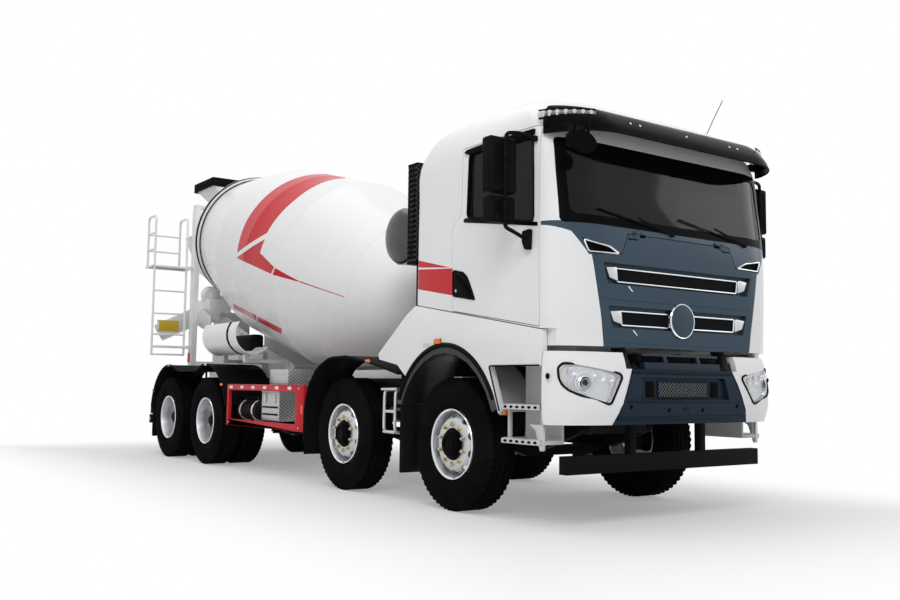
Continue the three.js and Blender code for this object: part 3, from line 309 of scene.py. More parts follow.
# %% Plastics, rubber and metals
def grained(name, color, roughness, grain, height, drift=0.15, shine=0.10):
    made = Finish(name, color, roughness, Specular_IOR_Level=shine, IOR=1.15)
    made.wear(*shades(color, drift), roughness - 0.06, roughness + 0.06, 3.0)
    made.bump(made.noise(grain, 3), height, 0.4)
    finishes[name] = made
    return made


grained("black_plastic", (0.008, 0.008, 0.009), 0.42, 700, 0.0001)
grained("gloss_black", (0.004, 0.004, 0.0045), 0.2, 300, 0.00002, shine=0.12)
grained("interior_trim", (0.022, 0.022, 0.024), 0.65, 400, 0.0002)
grained("seal_rubber", (0.008, 0.008, 0.008), 0.7, 500, 0.0001)
grained("tyre_rubber", (0.0065, 0.0065, 0.0068), 0.75, 260, 0.0003, 0.3, 0.05)
grained("seat_cloth", (0.045, 0.045, 0.048), 0.85, 900, 0.0004, 0.2)
grained("cast_iron", (0.030, 0.030, 0.032), 0.62, 180, 0.0006, 0.35)


def metal(name, color, roughness, streak=(1, 1, 1), drift=0.06):
    made = Finish(name, color, roughness, 1.0)
    made.wear(*shades(color, drift), roughness - 0.05, roughness + 0.07, 6.0)
    made.bump(made.noise(90, 3, streak), 0.00012, 0.3)
    finishes[name] = made
    return made


metal("rim_metal", (0.58, 0.59, 0.61), 0.38)
metal("brushed_metal", (0.55, 0.56, 0.57), 0.34, (1, 1, 14))
metal("chrome_trim", (0.72, 0.73, 0.75), 0.10)
metal("brass_nut", (0.62, 0.52, 0.30), 0.26)
metal("lamp_chrome", (0.80, 0.81, 0.82), 0.16)
metal("mirror_glass", (0.60, 0.62, 0.64), 0.05)
metal("brass_ring", (0.55, 0.47, 0.25), 0.3)
metal("step_grey", (0.52, 0.53, 0.54), 0.42)
metal("bare_screw", (0.50, 0.50, 0.51), 0.3)
# Near black for the water tank's polished ends: a painted reflection of dark surroundings, not the metal's own colour.
metal("tank_end_painted_reflection", (0.085, 0.078, 0.080), 0.24)
finishes["rim_metal"].shader.inputs["Metallic"].default_value = 0.75
print("finishes:", ", ".join(finishes))

# %% [markdown]
# ## Glass and lamps
# Window glass is dark: the windscreen lets a fifth of the light through and a door's pane a
# little more than a third, which is what their alpha says. Lamp lenses are thick coloured
# plastic with fine ribs inside.

# %% Glass and lamps
def lens(name, color, alpha, roughness=0.05, rib=0.0, glow=0.0, shine=0.5):
    made = Finish(name, color, roughness, Alpha=alpha, IOR=1.5, Specular_IOR_Level=shine)
    made.set("Roughness", made.noise(2.0).fade(0.2, 0.8) * 0.03 + roughness)
    if rib:
        x, y, z = made.axes()
        wave = (z * (2 * math.pi / rib)).math("SINE") + ((x + y) * (2 * math.pi / rib)).math("SINE")
        made.bump(wave, 0.0006, 0.5)
    if glow:
        made.shader.inputs["Emission Color"].default_value = (*color, 1.0)
        made.shader.inputs["Emission Strength"].default_value = glow
    made.material.surface_render_method = "BLENDED"
    finishes[name] = made


lens("dark_glass", (0.004, 0.005, 0.006), 0.80, 0.03, shine=0.2)
lens("door_glass", (0.004, 0.005, 0.006), 0.62, 0.03, shine=0.2)
lens("clear_lens", (0.75, 0.77, 0.80), 0.30, 0.04)
lens("amber_lens", (0.75, 0.16, 0.01), 1.0, 0.15, 0.012, 0.05)
lens("amber_soft", (0.72, 0.50, 0.30), 1.0, 0.2, 0.008)
lens("red_lens", (0.50, 0.01, 0.01), 1.0, 0.15, 0.012, 0.03)
lens("white_lens", (0.80, 0.80, 0.80), 1.0, 0.15, 0.012)


# %% [markdown]
# ## Patterned finishes
# Tread plate, grille mesh and the painted drum carry a pattern with a real pitch. The pattern is
# worked out from the place on the object, so it has the same size everywhere.

# %% Patterned finishes
def tread_plate():
    made = Finish("tread_plate", (0.42, 0.43, 0.44), 0.3, 1.0)
    x, y, z = made.axes()
    pitch = 0.036
    a = ((y + z + x * 0.7) * (math.pi / pitch)).math("SINE")
    b = ((y - z + x * 0.7) * (math.pi / pitch)).math("SINE")
    bars = abs(a).fade(0.75, 0.95).larger(abs(b).fade(0.75, 0.95))
    made.bump(bars, 0.0025, 0.9)
    made.set("Base Color", made.mix(bars, (0.24, 0.245, 0.25), (0.62, 0.63, 0.64)))
    made.set("Roughness", made.noise(30) * 0.2 + 0.22)
    finishes["tread_plate"] = made


def grille_mesh(name, pitch, wire, hole):
    made = Finish(name, wire, 0.5, Specular_IOR_Level=0.12, IOR=1.15)
    x, y, z = made.axes()
    a = ((x + z) * (math.pi / pitch)).math("SINE")
    b = ((x - z) * (math.pi / pitch)).math("SINE")
    open_here = abs(a).smaller(abs(b)).fade(0.25, 0.5)
    made.set("Base Color", made.mix(open_here, wire, hole))
    made.bump(1 - open_here, 0.003, 0.8)
    finishes[name] = made


tread_plate()
grille_mesh("fine_mesh", 0.016, (0.020, 0.020, 0.022), (0.001, 0.001, 0.001))
grille_mesh("bumper_mesh", 0.030, (0.16, 0.17, 0.18), (0.002, 0.002, 0.002))
grille_mesh("intake_mesh", 0.045, (0.05, 0.05, 0.052), (0.004, 0.004, 0.004))

# %% [markdown]
# ## A painted pattern in two measures
# The drum carries its red marks round a tilted axis, and the cab carries its marks on a curved
# side. Both are drawn as straight-edged patches in two measures, such as the length along the
# drum and the angle round it, so a patch is the overlap of a few half planes.

# %% Painted patches
def patch(a, b, corners):
    """1 inside a patch with outward corners, drawn in the two measures a and b, and 0 outside."""
    area = sum(p[0] * q[1] - q[0] * p[1] for p, q in zip(corners, corners[1:] + corners[:1]))
    ordered = corners if area > 0 else corners[::-1]
    inside = None
    for p, q in zip(ordered, ordered[1:] + ordered[:1]):
        across, along = q[0] - p[0], q[1] - p[1]
        side = (b * across - a * along - (p[1] * across - p[0] * along)).above(0)
        inside = side if inside is None else inside * side
    return inside


FIRST_AXLE = sum(corner.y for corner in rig.box("tyre_right_1")) / 2
DRUM_TILT = math.radians(14.96)
DRUM_STATION, DRUM_HEIGHT = 0.864, 1.573


def drum_paint():
    made = paint("drum_paint", WHITE, 0.26, 0.12, shine=0.25, ior=1.3)
    x, y, z = made.axes()
    back, rise = y - (DRUM_STATION + FIRST_AXLE), z - DRUM_HEIGHT
    along = back * math.cos(DRUM_TILT) + rise * math.sin(DRUM_TILT)
    up = rise * math.cos(DRUM_TILT) - back * math.sin(DRUM_TILT)
    angle = abs(x).math("ARCTAN2", up) * math.degrees(1)
    marks = [
        [(3.50, -1.0), (4.02, -1.0), (3.86, 6.6), (3.247, 6.6)],
        [(3.247, 6.6), (3.86, 6.6), (3.86, 33.5), (3.138, 33.5)],
        [(3.138, 33.5), (3.86, 33.5), (3.857, 70.0), (3.17, 70.7), (3.113, 45.4)],
        [(3.17, 70.7), (3.857, 70.0), (3.834, 78.9), (3.814, 88.2)],
        [(3.807, 91.2), (3.153, 74.4), (3.162, 83.0)],
        [(3.807, 91.2), (3.162, 83.0), (2.717, 87.6), (2.769, 92.1)],
        [(2.687, 87.9), (2.735, 92.1), (2.208, 91.9)],
        [(2.25, 91.2), (2.25, 92.0), (1.573, 93.9), (1.573, 93.3)],
        [(2.73, 125.2), (3.42, 125.2), (3.55, 130.8), (2.85, 130.8)],
        [(3.47, 125.2), (4.22, 125.2), (4.34, 130.8), (3.60, 130.8)],
    ]
    red = None
    for corners in marks:
        here = patch(along, angle, corners)
        red = here if red is None else red.larger(here)
    drift = made.noise(0.9).fade(0.3, 0.7)
    white = made.mix(drift, *shades(WHITE, 0.02))
    made.set("Base Color", made.mix(red, white, RED))


def cab_paint():
    made = paint("cab_paint", WHITE, ior=1.3)
    x, y, z = made.axes()
    station = y - FIRST_AXLE
    side = abs(x).above(1.19) * station.above(-0.114)
    block = patch(station, z, [(0.475, 1.845), (0.475, 2.005), (-0.2, 1.957), (-0.2, 1.727)])
    wedge = patch(station, z, [(0.475, 2.024), (0.475, 2.098), (-0.09, 1.972)])
    red = side * block.larger(wedge)
    corner = z.between(1.968, 2.207) * station.below(-1.20)
    above_edge = (abs(x) + (z - 1.97) * -0.78).below(0.972).larger((z - abs(x) * 0.33).above(1.768))
    drift = made.noise(0.9).fade(0.3, 0.7)
    white = made.mix(drift, *shades(WHITE, 0.025))
    blue = made.mix(drift, *shades(BLUE_GREY, 0.05))
    painted = made.mix(red, white, RED)
    outside = made.mix(corner * above_edge, painted, blue)
    lining = abs(x).below(1.165) * station.between(-0.95, 0.40) * z.between(1.345, 2.93)
    made.set("Base Color", made.mix(lining, outside, (0.030, 0.030, 0.032)))


drum_paint()
cab_paint()
print("painted patterns: drum and cab")

# %% [markdown]
# ## Working by hand, in code
# Every part starts as a primitive and is then shaped in edit mode, just as with a mouse. These
# helpers hold the steps that come back again and again: a softened block, a rod, a turned
# profile, a pushed outline, a bent tube. Stations along the truck are counted from the first
# axle, as a vehicle builder does, and `at` turns a station into a place in the frame.

# %% Places and selection
SIDES = (("right", -1), ("left", 1))


def at(x, y, z):
    return Vector((x, y + FIRST_AXLE, z))


def only(*things):
    if bpy.context.mode != "OBJECT":
        bpy.ops.object.mode_set(mode="OBJECT")
    bpy.ops.object.select_all(action="DESELECT")
    for thing in things:
        thing.select_set(True)
    bpy.context.view_layer.objects.active = things[0]


def editing(thing):
    only(thing)
    bpy.ops.object.mode_set(mode="EDIT")
    bpy.ops.mesh.select_mode(type="VERT")
    bpy.ops.mesh.select_all(action="SELECT")


def pick(thing, kind, rule):
    """Selects the faces or edges that a rule agrees to."""
    bpy.ops.mesh.select_mode(type=kind)
    bpy.ops.mesh.select_all(action="DESELECT")
    shape = bmesh.from_edit_mesh(thing.data)
    for part in (shape.faces if kind == "FACE" else shape.edges):
        if rule(part):
            part.select_set(True)
    bmesh.update_edit_mesh(thing.data)


def settle(thing, finish, smooth=35):
    """Leaves edit mode, puts the part's place into its mesh and gives it its finish."""
    only(thing)
    bpy.ops.object.transform_apply()
    bpy.ops.object.shade_smooth_by_angle(angle=math.radians(smooth))
    thing.data.materials.clear()
    thing.data.materials.append(finishes[finish].material)
    return thing


# %% Blocks and rods
def block(finish, low, high, soft=0.006, rows=2):
    a, b = at(*low), at(*high)
    low, high = Vector(map(min, a, b)), Vector(map(max, a, b))
    bpy.ops.object.select_all(action="DESELECT")
    bpy.ops.mesh.primitive_cube_add(size=1, location=(low + high) / 2, scale=high - low)
    made = bpy.context.active_object
    bpy.ops.object.transform_apply()
    editing(made)
    bpy.ops.mesh.bevel(offset=min(soft, 0.45 * min(high - low)), segments=rows, affect="EDGES")
    return settle(made, finish)


def rod(finish, start, end, radius, sides=20, soft=0.003, far=None):
    a, b = at(*start), at(*end)
    turn = (b - a).to_track_quat("Z", "Y").to_euler()
    bpy.ops.object.select_all(action="DESELECT")
    bpy.ops.mesh.primitive_cone_add(
        vertices=sides, radius1=radius, radius2=radius if far is None else far, depth=(b - a).length,
        location=(a + b) / 2, rotation=turn)
    made = bpy.context.active_object
    bpy.ops.object.transform_apply()
    editing(made)
    pick(made, "EDGE", lambda edge: any(len(face.verts) > 4 for face in edge.link_faces))
    bpy.ops.mesh.bevel(offset=min(soft, radius * 0.4), segments=2, affect="EDGES")
    return settle(made, finish)


# %% Turned, pushed and bent parts
def chain(points):
    """One corner, extruded from point to point."""
    bpy.ops.object.select_all(action="DESELECT")
    bpy.ops.mesh.primitive_plane_add(size=0.01, location=points[0])
    made = bpy.context.active_object
    bpy.ops.object.transform_apply()
    editing(made)
    bpy.ops.mesh.merge(type="CENTER")
    for a, b in zip(points, points[1:]):
        bpy.ops.mesh.extrude_vertices_move(TRANSFORM_OT_translate={"value": b - a})
    bpy.ops.mesh.select_all(action="SELECT")
    return made


def close_up():
    bpy.ops.mesh.select_all(action="SELECT")
    bpy.ops.mesh.remove_doubles(threshold=0.00005)
    bpy.ops.mesh.normals_make_consistent(inside=False)


def spun(finish, profile, centre, axis=(1, 0, 0), steps=96, smooth=35):
    """A profile of (radius, place along the axis), turned as on a lathe."""
    centre = at(*centre)
    axis = Vector(axis).normalized()
    out = Vector((0, 0, 1)) - axis * axis.z
    out.normalize()
    profile = list(profile)
    if profile[0][0] > 0:
        profile.append(profile[0])
    made = chain([centre + out * r + axis * s for r, s in profile])
    bpy.ops.mesh.spin(steps=steps, angle=2 * math.pi, center=centre, axis=axis)
    close_up()
    return settle(made, finish, smooth)


def plate(finish, outline, push, soft=0.003, rows=2, smooth=35):
    """A flat outline, filled and pushed out to a thick plate."""
    made = chain([at(*point) for point in outline])
    bpy.ops.mesh.edge_face_add()
    bpy.ops.mesh.extrude_region_move(TRANSFORM_OT_translate={"value": Vector(push)})
    close_up()
    if soft:
        pick(made, "EDGE", lambda edge: edge.is_manifold and edge.calc_face_angle() > math.radians(25))
        bpy.ops.mesh.bevel(offset=soft, segments=rows, affect="EDGES", clamp_overlap=True)
    return settle(made, finish, smooth)


def rounded(points, radius, steps=5):
    """The same path with each corner turned into a small arc."""
    path = [points[0]]
    for before, corner, after in zip(points, points[1:], points[2:]):
        a, b = before - corner, after - corner
        reach = min(radius, a.length * 0.49, b.length * 0.49)
        start, end = corner + a.normalized() * reach, corner + b.normalized() * reach
        for i in range(steps + 1):
            t = i / steps
            path.append(start.lerp(corner, t).lerp(corner.lerp(end, t), t))
    return path + [points[-1]]


def tube(finish, path, radius, bend=0.05, sides=12, closed=False):
    """A bar of round section along a path with soft bends."""
    points = [at(*point) for point in path]
    if closed:
        points = [points[-1].lerp(points[0], 0.5), *points, points[-1].lerp(points[0], 0.5)]
    points = rounded(points, bend)
    if closed:
        points.pop()
    bpy.ops.object.select_all(action="DESELECT")
    bpy.ops.curve.primitive_nurbs_path_add()
    made = bpy.context.active_object
    line = made.data
    line.splines.clear()
    spline = line.splines.new("POLY")
    spline.points.add(len(points) - 1)
    for target, point in zip(spline.points, points):
        target.co = (*point, 1)
    spline.use_cyclic_u = closed
    line.dimensions = "3D"
    line.bevel_depth = radius
    line.bevel_resolution = sides // 4
    line.use_fill_caps = not closed
    made.matrix_world = Matrix.Identity(4)
    bpy.ops.object.convert(target="MESH")
    made = bpy.context.active_object
    editing(made)
    close_up()
    return settle(made, finish, 50)


# %% [markdown]
# A sheet-metal cab can't be pushed out of a cube: each height has its own outline, with its own
# corners. So its rings are worked out first and then skinned with faces, and openings are carved
# with a boolean. `dressed` takes a copy of a working piece whose shape is already right and only
# rounds its edges, so light catches them as on real castings and pressings.

# %% Skins, carving and joining
def skinned(finish, rings, smooth=35):
    """Rings of points, bottom to top, joined with faces and closed at both ends."""
    count = len(rings[0])
    faces = []
    for level in range(len(rings) - 1):
        for i in range(count):
            a, b = level * count + i, level * count + (i + 1) % count
            faces.append((a, b, b + count, a + count))
    last = (len(rings) - 1) * count
    faces.append(tuple(reversed(range(count))))
    faces.append(tuple(range(last, last + count)))
    data = bpy.data.meshes.new("skin")
    data.from_pydata([tuple(point) for ring in rings for point in ring], [], faces)
    made = bpy.data.objects.new("skin", data)
    bpy.context.collection.objects.link(made)
    editing(made)
    bpy.ops.mesh.normals_make_consistent(inside=False)
    return settle(made, finish, smooth)


def carve(base, *tools, how="DIFFERENCE"):
    for tool in tools:
        only(base)
        change = base.modifiers.new("carve", "BOOLEAN")
        change.operation = how
        change.object = tool
        change.solver = "EXACT"
        bpy.ops.object.modifier_apply(modifier=change.name)
        bpy.data.objects.remove(tool)
    return base


def soften(thing, width, rows=2, angle=40):
    only(thing)
    change = thing.modifiers.new("soften", "BEVEL")
    change.width = width
    change.segments = rows
    change.limit_method = "ANGLE"
    change.angle_limit = math.radians(angle)
    bpy.ops.object.modifier_apply(modifier=change.name)
    return thing


def dressed(node, finish, soft=0.004, rows=2, smooth=35):
    made = bpy.data.objects.new("copy", nodes[node].data.copy())
    bpy.context.collection.objects.link(made)
    only(made)
    bpy.ops.mesh.customdata_custom_splitnormals_clear()
    editing(made)
    bpy.ops.mesh.remove_doubles(threshold=0.0001)
    bpy.ops.mesh.dissolve_limited(angle_limit=math.radians(1))
    bpy.ops.object.mode_set(mode="OBJECT")
    soften(made, soft, rows)
    return settle(made, finish, smooth)


def turned_copy(thing, shift, half_turn=False):
    """The same part elsewhere, with its own mesh; half a turn puts it on the other side."""
    made = bpy.data.objects.new(thing.name, thing.data.copy())
    bpy.context.collection.objects.link(made)
    if half_turn:
        made.rotation_euler = (0, 0, math.pi)
    only(made)
    bpy.ops.object.transform_apply()
    made.location = shift
    bpy.ops.object.transform_apply()
    return made


pieces = []


def done(name, body, slot, parts, *replaced):
    """Joins the parts to one piece that moves with a body and stands for the named nodes."""
    only(*parts)
    if len(parts) > 1:
        bpy.ops.object.join()
    made = bpy.context.active_object
    made.name = name
    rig.ride(made, body)
    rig.slot(made, slot)
    if replaced:
        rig.replaces(made, *replaced)
    pieces.append(made)
    return made

# %% [markdown]
# ## Wheels
# A truck tyre has flat ribs in the middle, open lugs on its shoulders and a plain, rounded
# sidewall. The casing is turned from a profile with the grooves in it, and one lug is spun round
# in fifty-eight copies. The front disc bulges outwards and the rear ones are deep dishes; both
# have ten oval hand holes and ten nuts.

# %% Tyres
TYRE_R = 0.540
AXLES = (0.0, 1.8, 5.2, 6.55)
LUGS = 58


def tyre(middle):
    """A tyre on an axle through the origin, its middle plane at x = middle."""
    half = [
        (0.286, 0.105), (0.300, 0.118), (0.325, 0.132), (0.370, 0.142), (0.415, 0.145), (0.460, 0.136),
        (0.485, 0.126), (0.488, 0.128), (0.494, 0.127), (0.500, 0.124), (0.518, 0.120), (0.527, 0.115),
        (0.529, 0.082), (0.526, 0.078), (0.526, 0.068), (0.5385, 0.066), (0.5390, 0.036), (0.526, 0.034),
        (0.526, 0.026), (0.5395, 0.024),
    ]
    profile = [(r, middle - s) for r, s in half] + [(r, middle + s) for r, s in reversed(half)]
    casing = spun("tyre_rubber", profile, (0, 0, 0), steps=88, smooth=40)
    casing.location = (0, -FIRST_AXLE, 0)
    parts = [settle(casing, "tyre_rubber", 40)]
    for s in (-1, 1):
        low = (middle + s * 0.088, -0.019 - FIRST_AXLE, 0.506)
        high = (middle + s * 0.1200, 0.019 - FIRST_AXLE, 0.5395)
        lug = block("tyre_rubber", low, high, 0.004, 1)
        editing(lug)
        pick(lug, "FACE", lambda face: face.calc_center_median().z > 0.53 or face.normal.z > 0.5)
        bpy.ops.transform.resize(value=(0.92, 0.86, 1), center_override=(middle + s * 0.088, 0, 0.53))
        bpy.ops.mesh.select_all(action="SELECT")
        bpy.ops.transform.rotate(value=math.radians(s * 10), orient_axis="Z", center_override=(middle, 0, 0))
        turn = 2 * math.pi * (LUGS - 1) / LUGS
        bpy.ops.mesh.spin(steps=LUGS - 1, dupli=True, angle=turn, center=(0, 0, 0), axis=(1, 0, 0))
        parts.append(settle(lug, "tyre_rubber"))
    only(*parts)
    bpy.ops.object.join()
    return bpy.context.active_object


# %% Rims
HAND_HOLES, NUTS = 10, 10


def ring_of(part, count):
    """The part repeated in a circle round the X axis through the origin."""
    editing(part)
    turn = 2 * math.pi * (count - 1) / count
    bpy.ops.mesh.spin(steps=count - 1, dupli=True, angle=turn, center=(0, 0, 0), axis=(1, 0, 0))
    bpy.ops.object.mode_set(mode="OBJECT")
    return part


def axle_spun(finish, profile, steps=96, smooth=35):
    return spun(finish, profile, (0, -FIRST_AXLE, 0), steps=steps, smooth=smooth)


def hand_holes(radius, low, high, long, wide):
    hole = rod("rim_metal", (low, -FIRST_AXLE, radius), (high, -FIRST_AXLE, radius), 0.5, 24, 0)
    editing(hole)
    bpy.ops.transform.resize(value=(1, long, wide), center_override=(0, 0, radius))
    return ring_of(hole, HAND_HOLES)


def nuts(finish, radius, low, high, size=0.017):
    nut = rod(finish, (low, -FIRST_AXLE, radius), (high, -FIRST_AXLE, radius), size, 6, 0.002)
    collar = rod(finish, (low - 0.004, -FIRST_AXLE, radius), (low + 0.004, -FIRST_AXLE, radius), size * 1.4,
                 20)
    stud = rod("rim_metal", (high - 0.01, -FIRST_AXLE, radius), (high + 0.012, -FIRST_AXLE, radius),
               size * 0.6, 12)
    return [ring_of(part, NUTS) for part in (nut, collar, stud)]


def rim_lip(m):
    """The bright edge of a rim whose middle plane is at x = m."""
    return axle_spun("chrome_trim", [
        (0.2850, m + 0.116), (0.288, m + 0.122), (0.285, m + 0.127), (0.277, m + 0.127), (0.270, m + 0.121),
        (0.276, m + 0.118),
    ])


def front_rim(m):
    well = axle_spun("rim_metal", [
        (0.2855, m + 0.118), (0.278, m + 0.122), (0.270, m + 0.119), (0.264, m + 0.105), (0.262, m + 0.06),
        (0.262, m - 0.10), (0.276, m - 0.118), (0.2855, m - 0.118), (0.2855, m - 0.100), (0.272, m - 0.08),
        (0.272, m + 0.07), (0.2855, m + 0.09),
    ])
    lip = rim_lip(m)
    disc = axle_spun("rim_metal", [
        (0.263, m + 0.030), (0.256, m + 0.040), (0.246, m + 0.052), (0.236, m + 0.072), (0.222, m + 0.094),
        (0.206, m + 0.106), (0.192, m + 0.111), (0.136, m + 0.112), (0.128, m + 0.108), (0.128, m + 0.098),
        (0.190, m + 0.098), (0.204, m + 0.093), (0.215, m + 0.082), (0.230, m + 0.058), (0.244, m + 0.036),
        (0.252, m + 0.026), (0.263, m + 0.020),
    ], 120)
    carve(disc, hand_holes(0.229, m - 0.1, m + 0.2, 0.066, 0.040))
    settle(disc, "rim_metal")
    hub = axle_spun("gloss_black", [
        (0.129, m + 0.100), (0.129, m + 0.116), (0.118, m + 0.122), (0.110, m + 0.124), (0.106, m + 0.145),
        (0.092, m + 0.156), (0.070, m + 0.158), (0.066, m + 0.152), (0, m + 0.152), (0, m + 0.100),
    ], 64)
    ring = axle_spun("gloss_black", [
        (0.070, m + 0.154), (0.074, m + 0.161), (0.068, m + 0.163), (0.064, m + 0.158), (0.060, m + 0.152)],
        64)
    return [well, lip, disc, hub, ring, *nuts("brass_nut", 0.162, m + 0.112, m + 0.134)]


def rear_rim(m):
    well = axle_spun("rim_metal", [
        (0.2855, m + 0.118), (0.278, m + 0.122), (0.270, m + 0.119), (0.264, m + 0.105), (0.260, m + 0.02),
        (0.252, m - 0.045), (0.246, m - 0.055), (0.246, m - 0.105), (0.2855, m - 0.118), (0.2855, m - 0.10),
        (0.272, m - 0.06), (0.272, m + 0.07), (0.2855, m + 0.09),
    ])
    lip = rim_lip(m)
    disc = axle_spun("rim_metal", [
        (0.255, m - 0.050), (0.235, m - 0.064), (0.215, m - 0.086), (0.196, m - 0.094), (0.110, m - 0.096),
        (0.110, m - 0.106), (0.200, m - 0.105), (0.220, m - 0.096), (0.240, m - 0.076), (0.255, m - 0.062),
    ], 120)
    carve(disc, hand_holes(0.222, m - 0.2, m + 0.1, 0.06, 0.036))
    settle(disc, "rim_metal")
    hub = axle_spun("cast_iron", [
        (0.135, m - 0.100), (0.132, m - 0.060), (0.118, m - 0.040), (0.112, m + 0.020), (0.104, m + 0.034),
        (0.050, m + 0.038), (0, m + 0.038), (0, m - 0.100),
    ], 64)
    cap = axle_spun("rim_metal", [
        (0.048, m + 0.034), (0.046, m + 0.048), (0.030, m + 0.054), (0, m + 0.054), (0, m + 0.034)], 48)
    bolt = rod("rim_metal", (m + 0.03, -FIRST_AXLE, 0.083), (m + 0.044, -FIRST_AXLE, 0.083), 0.011, 6)
    return [well, lip, disc, hub, cap, ring_of(bolt, 8), *nuts("rim_metal", 0.168, m - 0.096, m - 0.07)]


def joined(parts):
    only(*parts)
    bpy.ops.object.join()
    return bpy.context.active_object


# %% Wheels in place
TRACK, TWIN_OUT, TWIN_IN = 1.030, 1.100, 0.765
front_tyre, front_disc = tyre(TRACK), joined(front_rim(TRACK))
twin = joined([tyre(TWIN_OUT), tyre(TWIN_IN), *rear_rim(TWIN_OUT), axle_spun("rim_metal", [
    (0.2855, 0.66), (0.262, 0.68), (0.25, 0.85), (0.262, 0.985), (0.2855, 0.975), (0.2855, 0.88),
    (0.275, 0.86), (0.275, 0.70), (0.2855, 0.67)])])
for number, station in enumerate(AXLES, 1):
    for side, s in SIDES:
        where = at(0, station, TYRE_R)
        tag = side + "_" + str(number)
        if number < 3:
            done("tread_" + tag, "wheel_" + tag, "rubber", [turned_copy(front_tyre, where, s < 0)],
                 "tyre_" + tag)
            done("disc_" + tag, "wheel_" + tag, "bare_metal", [turned_copy(front_disc, where, s < 0)],
                 "rim_" + tag)
        else:
            done("twin_" + tag, "wheel_" + tag, "rubber", [turned_copy(twin, where, s < 0)],
                 "twin_wheel_" + tag)
for thing in (front_tyre, front_disc, twin):
    bpy.data.objects.remove(thing)
print("wheels:", len(pieces), "pieces")

# %% [markdown]
# ## Cab skin
# The cab widens a little up to the window line, leans back in front and closes in a rounded roof.
# A few levels are measured, and a smooth curve through them gives the levels in between. Every
# piece of the cab is cut from this one skin, so doors, lid and corners stay flush with it.

# %% Levels and rings of the cab
CAB_LEVELS = [
    (1.310, -1.420, 0.440, 1.237, 0.430, 0.260, 0.060),
    (1.750, -1.432, 0.440, 1.243, 0.430, 0.260, 0.070),
    (2.150, -1.425, 0.440, 1.245, 0.430, 0.250, 0.080),
    (2.560, -1.360, 0.440, 1.242, 0.420, 0.200, 0.080),
    (2.870, -1.305, 0.430, 1.237, 0.400, 0.180, 0.080),
    (3.080, -1.210, 0.310, 1.190, 0.400, 0.230, 0.150),
    (3.180, -1.120, 0.160, 1.095, 0.400, 0.260, 0.200),
    (3.240, -0.990, -0.040, 0.925, 0.400, 0.260, 0.220),
    (3.262, -0.820, -0.260, 0.725, 0.380, 0.240, 0.220),
]


def between_levels(levels, steps):
    """Levels on a smooth curve through the given ones."""
    made = []
    for i in range(len(levels) - 1):
        before, a, b = levels[max(i - 1, 0)], levels[i], levels[i + 1]
        after = levels[min(i + 2, len(levels) - 1)]
        for k in range(steps):
            t = k / steps
            made.append(tuple(
                0.5 * (2 * q + (r - p) * t + (2 * p - 5 * q + 4 * r - s) * t * t
                       + (3 * q - p - 3 * r + s) * t ** 3)
                for p, q, r, s in zip(before, a, b, after)))
    return made + [levels[-1]]


def plan(level, grow=0.0, front_steps=12, rear_steps=5):
    """The outline of the cab at one level, seen from above."""
    z, front, rear, half, across, along, back = level
    front, rear, half = front - grow, rear + grow, half + grow
    ring = []
    for x, y, rx, ry, start, steps in (
            (-half + across, front + along, across, along, 180, front_steps),
            (half - across, front + along, across, along, 270, front_steps),
            (half - back, rear - back, back, back, 0, rear_steps),
            (-half + back, rear - back, back, back, 90, rear_steps)):
        for i in range(steps + 1):
            a = math.radians(start + 90 * i / steps)
            ring.append(at(x + rx * math.cos(a), y + ry * math.sin(a), z))
    return ring


SMOOTH_CAB = between_levels(CAB_LEVELS, 5)


def cab_skin(grow=0.0, shift=0.0, finish="cab_paint"):
    rings = [[point + Vector((0, shift, 0)) for point in plan(level, grow)] for level in SMOOTH_CAB]
    return skinned(finish, rings)


def cab_room():
    rings = []
    for i, (z, front, rear, half, across, along, back) in enumerate(SMOOTH_CAB):
        if z > 3.2:
            continue
        lift = 0.05 if i == 0 else -0.05 if z > 2.9 else 0
        side = 0.13 if z < 2.0 else 0.05
        inner = (z + lift, front + 0.115, rear - 0.05, half - side, across - side, along - 0.05,
                 max(back - 0.05, 0.01))
        rings.append(plan(inner, 0.0, 6, 2))
    return skinned("interior_trim", rings)


def prism(outline, push, finish="interior_trim"):
    return plate(finish, outline, push, soft=0)


# %% Cab shell
def door_outline(grow):
    return [(-1.18 - grow, 1.45 - grow), (-0.118 + grow, 1.618 - grow), (-0.118 + grow, 2.30),
            (-0.24 + grow, 2.40), (-0.24 + grow, 2.925 + grow), (-1.18 - grow, 2.925 + grow)]


WINDOW = [(-1.125, 2.215), (-0.31, 2.35), (-0.33, 2.87), (-1.115, 2.85)]


def side_prism(outline, s, inner, outer=1.30):
    return prism([(s * inner, y, z) for y, z in outline], (s * (outer - inner), 0, 0))


def front_prism(outline, near=-1.60, far=-1.02):
    return prism([(x, near, z) for x, z in outline], (0, far - near, 0))


def lid_outline(grow):
    half = [(0.820 + grow, 1.27), (0.850 + grow, 1.50), (0.930 + grow, 1.915), (0.945 + grow, 1.975 + grow),
            (0.650 + grow, 1.990 + grow), (0.577 + grow, 2.150 + grow)]
    return half + [(-x, z) for x, z in reversed(half)]


VENT = [(1.022, 2.084), (0.977, 1.985), (0.670, 1.989), (0.782, 2.044)]

